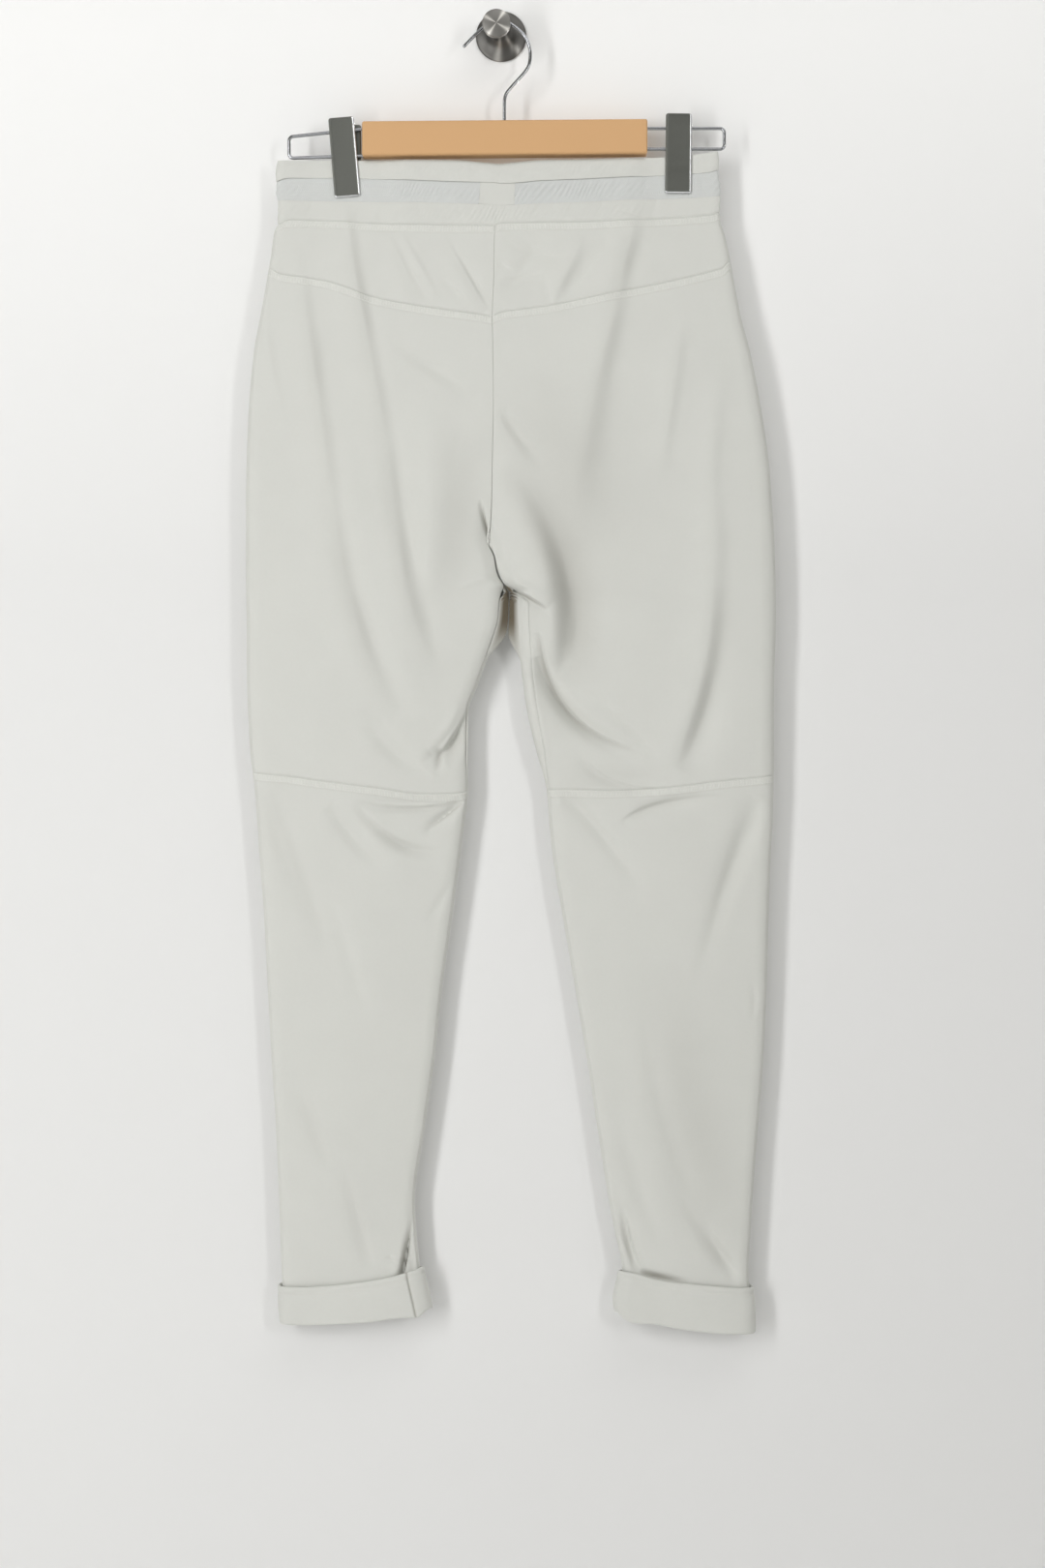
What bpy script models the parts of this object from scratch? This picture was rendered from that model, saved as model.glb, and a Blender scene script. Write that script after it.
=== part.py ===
"""Sweatpants hung by the waistband, back outwards, from a clip hanger on a wall knob.

Blender 4.5, metres, +Z up. The wall is the plane y = 0, the viewer stands at -Y, and +X is the
viewer's right. The origin is the centre of the knob's back face, which lies on the wall.

Tables are in millimetres. "drop" is the distance below the knob's centre, so z = -drop.
Left and right are the wearer's, and the viewer's too, because the back of the garment shows.

The cloth is one surface for each half. "turn" runs round it: 0 to 1 over the back, from the side
edge to the inner edge, and 1 to 2 over the front, back to the side edge. The inner edge is the
centre seam above the crotch and the inside of the leg below it.
"""
import math
from collections import namedtuple

import bmesh
import bpy
import numpy as np

MM = 0.001

# Cloth
WALL = 1.4
SEAM_GAP = 0.3
HALF = SEAM_GAP / 2
CROTCH_DROP = 462.0

# How the cloth goes round: the seams' turns, the share of the turn that each rounded edge takes, and
# the depth beside the edges as a share of the whole depth.
OUTSEAM_TURN = 0.035
INSEAM_TURN = 0.965
EDGE_SHARE = 0.12
EDGE_DEPTH = 0.62
FRONT_TURN_GAP = 0.002
TINY_TURN = 1e-7

# Stretch of drop over which the seat's one broad crown becomes a crown on each leg.
LEGS_START_DROP, LEGS_CHANGE = 380.0, 140.0

# Folds fade out beside the side edge over this many times its rounding.
CALM_REACH = 1.6

# Steps in turn and drop used to find the way that the cloth faces.
TURN_STEP, DROP_STEP = 0.0008, 0.15

# Ends of the rib stripe beside the centre seam, and the drop at which they are measured.
RIB_END_LEFT, RIB_END_RIGHT = -17.6, 11.6
RIB_MIDDLE_DROP = 138.0
RIB_END_TURN_GAP = 0.002

# Turned-up cuff
CUFF_WALL = 2.4
CUFF_STAND_OFF = 1.4
CUFF_BEND = 1.2
CUFF_LIP = 0.4
CUFF_COLUMNS = 26
CUFF_CROWDING = 0.7
CUFF_HEIGHTS = (0.3, 0.65)
LEG_END_RISE = CUFF_WALL + 0.8

# Hanger and knob
WIRE_RADIUS = 1.4
WIRE_BEVEL = 2
HANGER_Y = -22.0
BAR_LEFT, BAR_RIGHT = -114.8, 121.2
BAR_TOP_DROP, BAR_BOTTOM_DROP = 79.0, 107.6
BAR_THICK = 14.0
BAR_EASE = 1.2
CLIP_GAP_Y = 2.0
CLIP_THICK = 1.2
CLIP_CORNER = 2.2
CLIP_CORNER_STEPS = 3
KNOB_SIDES = 28

# Wire rails: how far out each reaches, its drops at the bar and at its round tip, and the tip's bend.
RAIL_BEND = 5.0
RAIL_BEND_STEPS = 4
Rail = namedtuple("Rail", "name bar_end tip top_bar top_tip bottom_bar bottom_tip")
RAILS = [
    Rail("rail_left", BAR_LEFT, -175.6, 83.6, 90.0, 106.0, 108.0),
    Rail("rail_right", BAR_RIGHT, 185.2, 83.4, 83.4, 100.6, 100.6),
]

# Clip plates: centre, size, lean in degrees, and y of the side that faces the viewer.
CLIP_FACE_Y = HANGER_Y - CLIP_GAP_Y - CLIP_THICK
CLIP_JAW_Y = HANGER_Y + CLIP_GAP_Y
Plate = namedtuple("Plate", "name x drop width height lean y")
CLIP_PLATES = [
    Plate("clip_face_left", -129.6, 108.0, 21.4, 66.5, 4.85, CLIP_FACE_Y),
    Plate("clip_face_right", 147.2, 104.9, 21.8, 66.6, -0.6, CLIP_FACE_Y),
    Plate("clip_jaw_left", -127.0, 109.6, 22.0, 60.0, 0.0, CLIP_JAW_Y),
    Plate("clip_jaw_right", 147.0, 106.0, 20.0, 60.0, 0.0, CLIP_JAW_Y),
]

# Hook wire, chosen by hand from its small round tip, over the knob's neck and down into the bar:
# x and drop of each point.
HOOK_ROUTE = [
    (-30.3, 15.2), (-26.0, 10.6), (-20.0, 4.6), (-14.2, -0.4), (-8.4, -4.6), (-2.6, -6.7), (3.2, -6.0),
    (9.0, -2.6), (14.6, 1.6), (19.4, 6.6), (22.6, 12.6), (24.2, 19.2), (24.2, 26.0), (22.8, 32.0),
    (19.4, 37.2), (14.0, 43.2), (8.6, 49.2), (4.8, 54.0), (3.2, 58.6), (2.9, 65.0), (2.9, 78.7),
]
HOOK_STEPS = 2

# Turned profile of the wall knob, from the wall outwards: distance out from the wall and radius.
KNOB_PROFILE = [
    (0.0, 21.2), (1.2, 21.2), (1.8, 20.6), (2.4, 18.0), (4.0, 13.4), (7.0, 9.4), (11.0, 7.0),
    (16.0, 5.4), (20.0, 4.9), (24.0, 4.9), (28.0, 5.6), (32.0, 7.6), (35.0, 10.0), (36.6, 11.6),
    (40.0, 11.6), (40.8, 11.0),
]

SMOOTH_ANGLE = math.radians(50)

Table = namedtuple("Table", "columns rows")


def table(heading, rows):
    """Table with named columns. The first column rises down the rows."""
    return Table(heading.split(), np.array(rows, float))


def read(source, name, at):
    """Value of a column where the first column is `at`: a smooth curve that never overshoots."""
    known = source.rows[:, 0]
    value = source.rows[:, source.columns.index(name)]
    at = np.clip(np.asarray(at, float), known[0], known[-1])
    step = np.diff(known)
    rise = np.diff(value) / step
    slope = np.zeros(len(known))
    slope[0], slope[-1] = rise[0], rise[-1]
    both = rise[:-1] * rise[1:]
    total = rise[:-1] + rise[1:]
    same_way = both > 0
    slope[1:-1][same_way] = 2 * both[same_way] / total[same_way]
    row = np.clip(np.searchsorted(known, at, side="right") - 1, 0, len(known) - 2)
    share = (at - known[row]) / step[row]
    square = share * share
    cube = square * share
    start = (2 * cube - 3 * square + 1) * value[row] + (cube - 2 * square + share) * step[row] * slope[row]
    end = (3 * square - 2 * cube) * value[row + 1] + (cube - square) * step[row] * slope[row + 1]
    return start + end


# Outline of the hung garment, seen square on: x of each half's side edge and inner edge.
OUTLINE = table("drop left_side left_inner right_inner right_side", [
    (104, -185.0, -2.2, -1.8, 180.0),
    (120, -185.5, -2.2, -1.8, 180.0),
    (135, -186.0, -2.7, -2.3, 182.0),
    (150, -184.5, -3.7, -3.3, 181.5),
    (162, -185.0, -4.7, -4.3, 182.5),
    (170, -188.0, -5.2, -4.8, 185.0),
    (186, -190.3, -5.7, -5.3, 189.0),
    (200, -192.5, -5.7, -5.3, 191.5),
    (242, -200.0, -7.2, -6.8, 199.5),
    (266, -204.5, -6.7, -6.3, 206.0),
    (314, -209.0, -6.2, -5.8, 215.5),
    (362, -211.0, -7.2, -6.8, 222.5),
    (394, -211.5, -7.7, -7.3, 225.0),
    (416, -211.5, -8.7, -8.3, 226.5),
    (438, -211.5, -4.7, -4.3, 227.5),
    (456, -211.5, 0.3, 0.7, 228.0),
    (462, -211.5, 3.0, 4.2, 228.2),
    (468, -211.5, 1.0, 12.6, 228.3),
    (490, -211.0, -1.0, 13.2, 228.4),
    (516, -211.0, -9.0, 15.3, 227.8),
    (544, -210.8, -19.0, 18.4, 226.9),
    (567, -210.0, -27.0, 21.8, 226.8),
    (602, -208.0, -27.6, 30.0, 226.8),
    (632, -204.5, -27.0, 38.0, 226.5),
    (658, -202.5, -30.0, 40.0, 225.8),
    (682, -201.0, -33.0, 42.5, 224.5),
    (738, -196.8, -40.5, 51.5, 222.5),
    (794, -194.0, -48.5, 61.2, 221.0),
    (858, -190.5, -55.5, 71.8, 218.0),
    (914, -187.0, -63.5, 80.3, 213.5),
    (974, -184.5, -71.5, 89.8, 209.0),
    (1000, -183.5, -70.0, 94.8, 207.6),
    (1030, -182.3, -67.0, 100.6, 205.8),
    (1056, -181.0, -61.5, 97.0, 207.0),
    (1082, -179.5, -56.0, 103.0, 208.0),
])

# Half the thickness of the hung garment, where its middle lies, and how far its edges round over.
DEPTHS = table("drop depth middle edge", [
    (104, 4.6, -22.0, 7.0),
    (125, 4.6, -22.0, 7.0),
    (165, 5.6, -22.0, 8.0),
    (230, 8.5, -22.0, 10.0),
    (320, 11.5, -21.5, 12.0),
    (440, 13.0, -20.5, 13.0),
    (560, 12.0, -19.5, 13.0),
    (660, 11.0, -18.5, 12.0),
    (800, 9.0, -17.5, 11.0),
    (950, 8.0, -17.5, 10.0),
    (1082, 7.6, -17.5, 9.0),
])

# How far each half has closed round the inside of the leg: 0 is open at the centre seam.
CLOSING = table("drop closure", [
    (300, 0.0),
    (400, 0.15),
    (440, 0.55),
    (456, 0.93),
    (462, 1.0),
    (1082, 1.0),
])

# Seams across the back of the waist, by how far they are from the side edge to the centre.
WAIST_LEFT = table("across top fold rib waist yoke", [
    (0.00, 112.4, 127.6, 143.6, 163.0, 199.6),
    (0.05, 112.4, 127.4, 143.6, 162.8, 200.0),
    (0.14, 112.4, 125.4, 143.8, 159.6, 205.2),
    (0.30, 112.4, 125.0, 144.2, 160.6, 210.8),
    (0.45, 112.4, 125.8, 144.8, 162.4, 222.0),
    (0.57, 112.4, 127.0, 145.4, 163.6, 228.4),
    (0.75, 112.8, 128.6, 146.4, 164.4, 234.8),
    (0.90, 115.4, 129.4, 147.6, 164.6, 239.6),
    (1.00, 116.0, 130.0, 148.4, 165.2, 242.0),
])
WAIST_RIGHT = table("across top fold rib waist yoke", [
    (0.00, 104.4, 118.0, 139.6, 153.2, 194.0),
    (0.05, 104.6, 118.4, 139.8, 153.4, 194.6),
    (0.11, 105.6, 120.0, 140.5, 155.2, 199.6),
    (0.27, 109.4, 122.6, 142.0, 158.0, 209.2),
    (0.43, 110.8, 124.4, 143.4, 160.0, 217.2),
    (0.60, 112.0, 126.4, 145.4, 161.8, 225.2),
    (0.75, 112.6, 127.8, 146.6, 162.2, 232.4),
    (0.90, 115.4, 130.4, 148.2, 162.8, 237.2),
    (1.00, 116.0, 130.0, 148.4, 165.2, 242.0),
])

# The same seams where they meet at the centre of the front.
FRONT_CENTRE = {"top": 121.0, "fold": 135.0, "rib": 152.0, "waist": 168.0}

# Knee seam and cuff edges, across the back of each leg from its side edge to its inner edge.
LEG_LEFT = table("across knee cuff_top cuff_bottom", [
    (0.00, 616.4, 1043.2, 1074.5),
    (0.19, 619.6, 1043.2, 1074.4),
    (0.33, 623.6, 1042.0, 1073.6),
    (0.58, 630.0, 1038.6, 1071.6),
    (0.76, 634.8, 1034.6, 1068.6),
    (0.87, 634.8, 1031.0, 1068.2),
    (0.93, 633.6, 1028.8, 1063.0),
    (1.00, 631.2, 1025.6, 1060.4),
])
LEG_RIGHT = table("across knee cuff_top cuff_bottom", [
    (0.00, 618.8, 1044.6, 1082.4),
    (0.13, 621.2, 1044.0, 1082.2),
    (0.28, 624.4, 1042.4, 1081.4),
    (0.42, 628.4, 1040.8, 1079.6),
    (0.58, 630.8, 1039.0, 1077.0),
    (0.72, 631.6, 1036.4, 1073.6),
    (0.88, 631.0, 1031.6, 1072.6),
    (1.00, 631.2, 1030.2, 1060.4),
])

# How far the right leg's inseam lies round from the inner edge, on the side that shows.
INSEAM_RIGHT = table("drop turn", [
    (462, 0.965),
    (478, 0.900),
    (560, 0.905),
    (600, 0.920),
    (630, 0.965),
])

Fold = namedtuple("Fold", "height over under peak x0 drop0 x1 drop1 x2 drop2")

# Folds of the back, each along a curve through three points. height is out (+) or in (-). over is the
# spread on the upper or right-hand side of the curve, under on the other side. peak is where along the
# curve it is strongest.
BACK_FOLDS = [
    # Left hip and thigh, falling from the yoke and the clip
    Fold(-3.6, 10, 15, 0.60, -161, 237, -129, 442, -76, 573),
    Fold(-3.6, 9, 13, 0.62, -123, 170, -97, 330, -51, 532),
    Fold(2.0, 16, 14, 0.55, -142, 250, -112, 430, -62, 560),
    Fold(-2.2, 6, 6, 0.55, -48, 172, -28, 206, -9, 237),
    Fold(-1.6, 7, 7, 0.50, -92, 172, -76, 206, -60, 233),
    Fold(-5.5, 5, 7, 0.60, -17, 396, -9, 424, 0, 456),
    # Left thigh over the knee
    Fold(-5.5, 5, 13, 0.50, -64, 612, -43, 588, -25, 560),
    Fold(-2.4, 8, 12, 0.50, -110, 560, -86, 596, -56, 622),
    # Right hip, seat and thigh
    Fold(-2.4, 9, 9, 0.50, 117, 176, 96, 218, 55, 295),
    Fold(-2.0, 7, 8, 0.50, 90, 173, 68, 205, 42, 237),
    Fold(-1.8, 9, 7, 0.50, 36, 172, 22, 196, 2, 226),
    Fold(-2.6, 14, 8, 0.60, 2, 320, 20, 344, 38, 366),
    Fold(-9.0, 20, 10, 0.62, 4, 356, 56, 452, 48, 544),
    Fold(3.5, 8, 16, 0.70, 8, 390, 36, 464, 43, 536),
    Fold(4.0, 18, 5, 0.45, 2, 456, 18, 466, 38, 483),
    Fold(-6.5, 6, 15, 0.35, 29, 522, 62, 572, 122, 600),
    Fold(-2.8, 9, 8, 0.60, 50, 590, 92, 620, 150, 622),
    Fold(-4.5, 15, 8, 0.75, 183, 442, 178, 536, 149, 616),
    # Left calf
    Fold(-2.6, 5, 9, 0.60, -124, 638, -86, 643, -30, 640),
    Fold(-3.2, 6, 6, 0.40, -29, 641, -50, 656, -64, 670),
    Fold(-2.2, 8, 9, 0.50, -104, 661, -78, 677, -50, 681),
    Fold(-2.4, 8, 8, 0.40, -140, 644, -118, 672, -92, 697),
    Fold(-3.6, 12, 9, 0.35, -200, 640, -175, 690, -137, 782),
    Fold(-6.0, 6, 6, 0.75, -74, 975, -77, 1008, -80, 1045),
    # Right calf
    Fold(-2.6, 5, 9, 0.45, 109, 652, 138, 642, 174, 636),
    Fold(-3.6, 9, 11, 0.35, 216, 640, 198, 684, 166, 764),
    Fold(-2.6, 9, 9, 0.45, 50, 640, 78, 664, 116, 712),
    Fold(-4.0, 6, 6, 0.60, 98, 975, 105, 1002, 119, 1040),
    Fold(-2.4, 8, 8, 0.60, 162, 974, 180, 1010, 198, 1040),
]

# Folds of the hidden front, shaped like those of the back.
FRONT_FOLDS = [
    Fold(-3.0, 11, 13, 0.50, -140, 200, -112, 360, -66, 520),
    Fold(-3.0, 12, 10, 0.50, 138, 200, 110, 350, 70, 510),
    Fold(-3.0, 8, 12, 0.50, -110, 600, -76, 632, -40, 640),
    Fold(-3.0, 8, 12, 0.50, 160, 640, 110, 622, 60, 606),
    Fold(-2.4, 12, 10, 0.50, -170, 660, -140, 760, -120, 880),
    Fold(-2.4, 10, 12, 0.50, 190, 670, 160, 770, 150, 880),
]

FOLD_SAMPLES = 24
BAND_ROLL = 0.9

# Where the clips press the waistband flat: centre, half width and how far the press reaches.
PRESSES = ((-127.0, 25.0), (147.0, 17.0))
PRESS_HALF_DEPTH = 1.55
PRESS_SPREAD = 26.0
PRESS_END_DROP = 142.0
PRESS_FADE = 52.0


def ramp(value):
    """0 below 0, 1 above 1, and a smooth rise between."""
    value = np.clip(value, 0.0, 1.0)
    return value * value * (3 - 2 * value)


def fold_height(folds, x, drop):
    """Sum of the folds at each point: an uneven bell across each curve, faded at its two ends.

    The nearest point of each curve is its nearest sample, brought closer by Newton's method.
    """
    x, drop = np.broadcast_arrays(np.asarray(x, float), np.asarray(drop, float))
    here = np.stack([x, drop], axis=-1)
    total = np.zeros(x.shape)
    samples = np.linspace(0, 1, FOLD_SAMPLES)[:, None]
    for fold in folds:
        start = np.array([fold.x0, fold.drop0])
        end = np.array([fold.x2, fold.drop2])
        pull = 2 * np.array([fold.x1, fold.drop1]) - 0.5 * (start + end)
        bend = 2 * (start - 2 * pull + end)
        line = (1 - samples) ** 2 * start + 2 * samples * (1 - samples) * pull + samples ** 2 * end
        nearest = np.argmin(((here[..., None, :] - line) ** 2).sum(-1), axis=-1)
        along = samples[nearest]
        for _ in range(3):
            point = (1 - along) ** 2 * start + 2 * along * (1 - along) * pull + along ** 2 * end
            run = 2 * (1 - along) * (pull - start) + 2 * along * (end - pull)
            square = (run ** 2).sum(-1, keepdims=True)
            lean = ((point - here) * run).sum(-1, keepdims=True)
            rate = np.maximum(square + ((point - here) * bend).sum(-1, keepdims=True), 0.3 * square)
            along = np.clip(along - lean / rate, 0, 1)
        away = here - point
        unit = run / np.sqrt(square)
        beside = unit[..., 1] * away[..., 0] - unit[..., 0] * away[..., 1]
        spread = np.where(beside > 0, fold.over, fold.under)
        strength = np.sin(math.pi * along[..., 0] ** (math.log(0.5) / math.log(fold.peak)))
        total += fold.height * np.exp(-(beside / spread) ** 2) * strength
    return total


def pressed(depth, x, drop):
    """The depth left where a clip presses the waistband."""
    for centre, half_width in PRESSES:
        beside = 1 - ramp((np.abs(x - centre) - half_width) / PRESS_SPREAD)
        below = 1 - ramp((drop - PRESS_END_DROP) / PRESS_FADE)
        share = beside * below
        depth = depth * (1 - share) + np.minimum(depth, PRESS_HALF_DEPTH) * share
    return depth


def edges(half, drop):
    """x of the side edge and of the inner edge of a half."""
    return read(OUTLINE, f"{half}_side", drop), read(OUTLINE, f"{half}_inner", drop)


def face(half, turn, drop, folded=True):
    """Point on the outer face of the cloth, as an array of x, y, z in millimetres."""
    turn, drop = np.broadcast_arrays(np.asarray(turn, float), np.asarray(drop, float))
    loop = np.mod(turn, 2.0)
    way = np.where(loop < 1, loop, 2 - loop)
    sign = np.where(loop < 1, -1.0, 1.0)
    side, inner = edges(half, drop)
    width = np.abs(inner - side)
    edge = read(DEPTHS, "edge", drop)
    near_side = edge * (1 - np.cos(np.clip(way / EDGE_SHARE, 0, 1) * math.pi / 2))
    near_inner = edge * (1 - np.cos(np.clip((1 - way) / EDGE_SHARE, 0, 1) * math.pi / 2))
    middle = (width - 2 * edge) * np.clip((way - EDGE_SHARE) / (1 - 2 * EDGE_SHARE), 0, 1)
    from_side = near_side + middle + (edge - near_inner)
    share = from_side / width
    x = side + (inner - side) * share
    closure = read(CLOSING, "closure", drop)
    leg = ramp((drop - LEGS_START_DROP) / LEGS_CHANGE)
    crown = (1 - leg) * np.sin(math.pi / 2 * share) + leg * np.sin(math.pi * share)
    round_side = np.sqrt(1 - (1 - near_side / edge) ** 2)
    round_inner = np.sqrt(np.maximum(1 - closure * (1 - near_inner / edge) ** 2, 0))
    depth = read(DEPTHS, "depth", drop) * (EDGE_DEPTH + (1 - EDGE_DEPTH) * crown)
    depth = pressed(depth, x, drop)
    fold = np.zeros(x.shape)
    if folded:
        fold = np.where(sign < 0, fold_height(BACK_FOLDS, x, drop), fold_height(FRONT_FOLDS, x, drop))
    calm = ramp(from_side / (CALM_REACH * edge)) * (1 - closure * (1 - ramp((width - from_side) / edge)))
    y = read(DEPTHS, "middle", drop) + sign * (depth * round_side * round_inner + fold * calm)
    return np.stack([x, y, -drop], axis=-1)


def outward(half, turn, drop, first, last, folded=True):
    """Unit normal of the outer face, taken inside the stretch of turn from first to last."""
    ahead = face(half, np.minimum(turn + TURN_STEP, last), drop, folded)
    behind = face(half, np.maximum(turn - TURN_STEP, first), drop, folded)
    below = face(half, turn, drop + DROP_STEP, folded)
    above = face(half, turn, drop - DROP_STEP, folded)
    normal = np.cross(ahead - behind, below - above)
    normal /= np.linalg.norm(normal, axis=-1, keepdims=True)
    return -normal if half == "left" else normal


# The grid that neighbouring pieces share, so that their edges match along every seam: how many
# shares, and how much closer together they are at the start and the end.
Spacing = namedtuple("Spacing", "count at_start at_end")
ACROSS_BACK = Spacing(24, 0.5, 0.62)
ACROSS_FRONT = Spacing(11, 0.5, 0.5)
YOKE_ROWS = Spacing(5, 0.0, 0.0)
THIGH_ROWS = Spacing(23, -0.3, 0.35)
CALF_ROWS = Spacing(15, 0.5, 0.2)
FRONT_STRETCHES = (("hip", YOKE_ROWS), ("thigh", THIGH_ROWS), ("calf", CALF_ROWS))

# How far the rows of the front ease to level beside both edges: at the waist, yoke and knee seams and
# at the leg's end.
FRONT_EASE = (0.0, 1.0, 0.0, 0.0)


def shares(spacing):
    """Shares from 0 to 1 whose steps shrink towards the start and the end."""
    even = np.linspace(0, 1, spacing.count)
    bow = np.sin(math.pi * even) / math.pi
    both = np.sin(2 * math.pi * even) / (2 * math.pi)
    mean = (spacing.at_start + spacing.at_end) / 2
    return even - mean * both + (spacing.at_end - spacing.at_start) / 2 * bow


def finish_object(name, finish, mesh):
    """Object with its material, its faces pointing out and shaded smooth but for sharp edges."""
    shape = bmesh.new()
    shape.from_mesh(mesh)
    bmesh.ops.recalc_face_normals(shape, faces=shape.faces)
    shape.to_mesh(mesh)
    shape.free()
    mesh.shade_smooth()
    mesh.set_sharp_from_angle(angle=SMOOTH_ANGLE)
    mesh.materials.append(finish)
    thing = bpy.data.objects.new(name, mesh)
    bpy.context.scene.collection.objects.link(thing)
    return thing


def mesh_from(name, points, faces):
    """Mesh from points in millimetres."""
    mesh = bpy.data.meshes.new(name)
    mesh.from_pydata((np.asarray(points) * MM).tolist(), [], faces)
    return mesh


def cloth_wall(name, finish, outer, inner):
    """Closed wall between two grids of points, with rims along all four sides."""
    rows, columns = outer.shape[:2]
    points = np.concatenate([outer.reshape(-1, 3), inner.reshape(-1, 3)])
    back = rows * columns
    at = np.arange(back).reshape(rows, columns)
    faces = []
    for row in range(rows - 1):
        for column in range(columns - 1):
            quad = [at[row, column], at[row + 1, column], at[row + 1, column + 1], at[row, column + 1]]
            faces.append([int(corner) for corner in quad])
            faces.append([int(corner) + back for corner in reversed(quad)])
    rim = list(at[0, :]) + list(at[1:, -1]) + list(at[-1, -2::-1]) + list(at[-2:0:-1, 0])
    for here, there in zip(rim, rim[1:] + rim[:1]):
        faces.append([int(here), int(there), int(there) + back, int(here) + back])
    return finish_object(name, finish, mesh_from(name, points, faces))


def panel(name, finish, half, turns, drops, first, last, roll=None):
    """Cloth panel over a grid of turns and drops. roll lifts its outer face, row by row."""
    outer = face(half, turns, drops)
    normal = outward(half, turns, drops, first, last)
    inner = outer - WALL * normal
    if roll is not None:
        outer = outer + roll * normal
    return cloth_wall(name, finish, outer, inner)


def seam_drop(half, level, turn):
    """Drop of a waist seam at a turn, round the back and the front."""
    source = WAIST_LEFT if half == "left" else WAIST_RIGHT
    loop = np.mod(turn, 2.0)
    way = np.where(loop < 1, loop, 2 - loop)
    on_back = read(source, level, way)
    side = read(source, level, 0.0)
    on_front = side + (FRONT_CENTRE[level] - side) * way
    return np.where(loop < 1, on_back, on_front)


def leg_drop(half, level, turn):
    """Drop of a cuff edge at a turn. From the inseam round the front it slopes evenly to the outseam."""
    source = LEG_LEFT if half == "left" else LEG_RIGHT
    loop = np.mod(turn - OUTSEAM_TURN, 2.0) + OUTSEAM_TURN
    at_inseam, at_outseam = read(source, level, INSEAM_TURN), read(source, level, OUTSEAM_TURN)
    share = (loop - INSEAM_TURN) / (2 + OUTSEAM_TURN - INSEAM_TURN)
    on_front = at_inseam + (at_outseam - at_inseam) * share
    return np.where(loop < INSEAM_TURN, read(source, level, loop), on_front)


def inseam(half, drop):
    """Turn of the inseam. It is the centre seam's 1 above the crotch."""
    below = read(INSEAM_RIGHT, "turn", drop) if half == "right" else INSEAM_TURN
    return np.where(drop < CROTCH_DROP - 1, 1 - TINY_TURN, below)


def band(name, finish, half, level, next_level, back_end, strips):
    """Strip of the waistband from the centre of the front round the side to back_end on the back.

    A band of more than one strip rolls outwards between its two edges.
    """
    front = 1 + shares(ACROSS_FRONT) * (1 + OUTSEAM_TURN)
    back = 2 + OUTSEAM_TURN + shares(ACROSS_BACK)[1:] * (1 - OUTSEAM_TURN - TINY_TURN)
    keep = back < 2 + back_end - 0.01
    turns = np.concatenate([front, back[keep], [2 + back_end - TINY_TURN]])
    rows = np.linspace(0, 1, strips + 1)[:, None]
    turns = np.broadcast_to(turns, (strips + 1, len(turns)))
    upper = seam_drop(half, level, turns) + HALF
    lower = seam_drop(half, next_level, turns) - HALF
    drops = upper + (lower - upper) * rows
    roll = BAND_ROLL * np.sin(math.pi * rows)[..., None] * calm_at_clips(half, turns, drops)
    return panel(name, finish, half, turns, drops, 1.0, 3.0 - TINY_TURN, roll)


def calm_at_clips(half, turns, drops):
    """1 away from the clips and 0 between their jaws."""
    x = face(half, turns, drops)[..., 0]
    calm = np.ones_like(x)
    for centre, half_width in PRESSES:
        calm *= ramp((np.abs(x - centre) - half_width) / PRESS_SPREAD)
    return calm[..., None]


def back_piece(finish):
    """Plain stretch of waistband between the two rib ends, across the centre seam."""
    strip = np.linspace(0, 1, 3)[:, None]
    from_left = np.linspace(way_at("left", RIB_END_LEFT), 1 - TINY_TURN, 4)
    to_right = np.linspace(1 - TINY_TURN, way_at("right", RIB_END_RIGHT), 4)[1:]
    outers, inners = [], []
    for half, ways in (("left", from_left), ("right", to_right)):
        turns = np.broadcast_to(ways, (len(strip), len(ways)))
        upper = seam_drop(half, "fold", turns) + HALF
        lower = seam_drop(half, "rib", turns) - HALF
        drops = upper + (lower - upper) * strip
        outer = face(half, turns, drops)
        outers.append(outer)
        inners.append(outer - WALL * outward(half, turns, drops, 0.0, 1 - TINY_TURN))
    outer = np.concatenate(outers, axis=1)
    inner = np.concatenate(inners, axis=1)
    return cloth_wall("waist_back_piece", finish, outer, inner)


def way_at(half, x):
    """Turn on the back of the rib stripe where the cloth reaches x, found by halving."""
    side = edges(half, RIB_MIDDLE_DROP)[0]
    low, high = 0.5, 1.0
    for _ in range(40):
        middle = (low + high) / 2
        reached = face(half, middle, RIB_MIDDLE_DROP)[0]
        if abs(reached - side) < abs(x - side):
            low = middle
        else:
            high = middle
    return low


def back_turn(half, drop, across):
    """Turn at a share across a back panel, from the outseam to the centre seam or inseam."""
    first = OUTSEAM_TURN
    last = inseam(half, drop)
    return first + (last - first) * across


def along_seam(half, seam, across):
    """Drop of a seam at each share across a back panel."""
    drop = seam(across)
    for _ in range(3):
        drop = seam(back_turn(half, drop, across))
    return drop


def seams_down(half):
    """Waist seam, yoke seam, knee seam and leg end of a half, each a drop read by turn."""
    waist = WAIST_LEFT if half == "left" else WAIST_RIGHT
    leg = LEG_LEFT if half == "left" else LEG_RIGHT
    return (lambda turn: read(waist, "waist", turn),
            lambda turn: read(waist, "yoke", turn),
            lambda turn: read(leg, "knee", turn),
            lambda turn: read(leg, "cuff_bottom", turn) - LEG_END_RISE)


def back_panel(name, finish, half, top, bottom, rows):
    """Panel of the back between two seams, from the outseam to the centre seam or inseam."""
    across = shares(ACROSS_BACK)
    upper = along_seam(half, top, across) + HALF
    lower = along_seam(half, bottom, across) - HALF
    drops = upper + (lower - upper) * shares(rows)[:, None]
    turns = back_turn(half, drops, across)
    return panel(name, finish, half, turns, drops, OUTSEAM_TURN, 1 - TINY_TURN)


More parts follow.
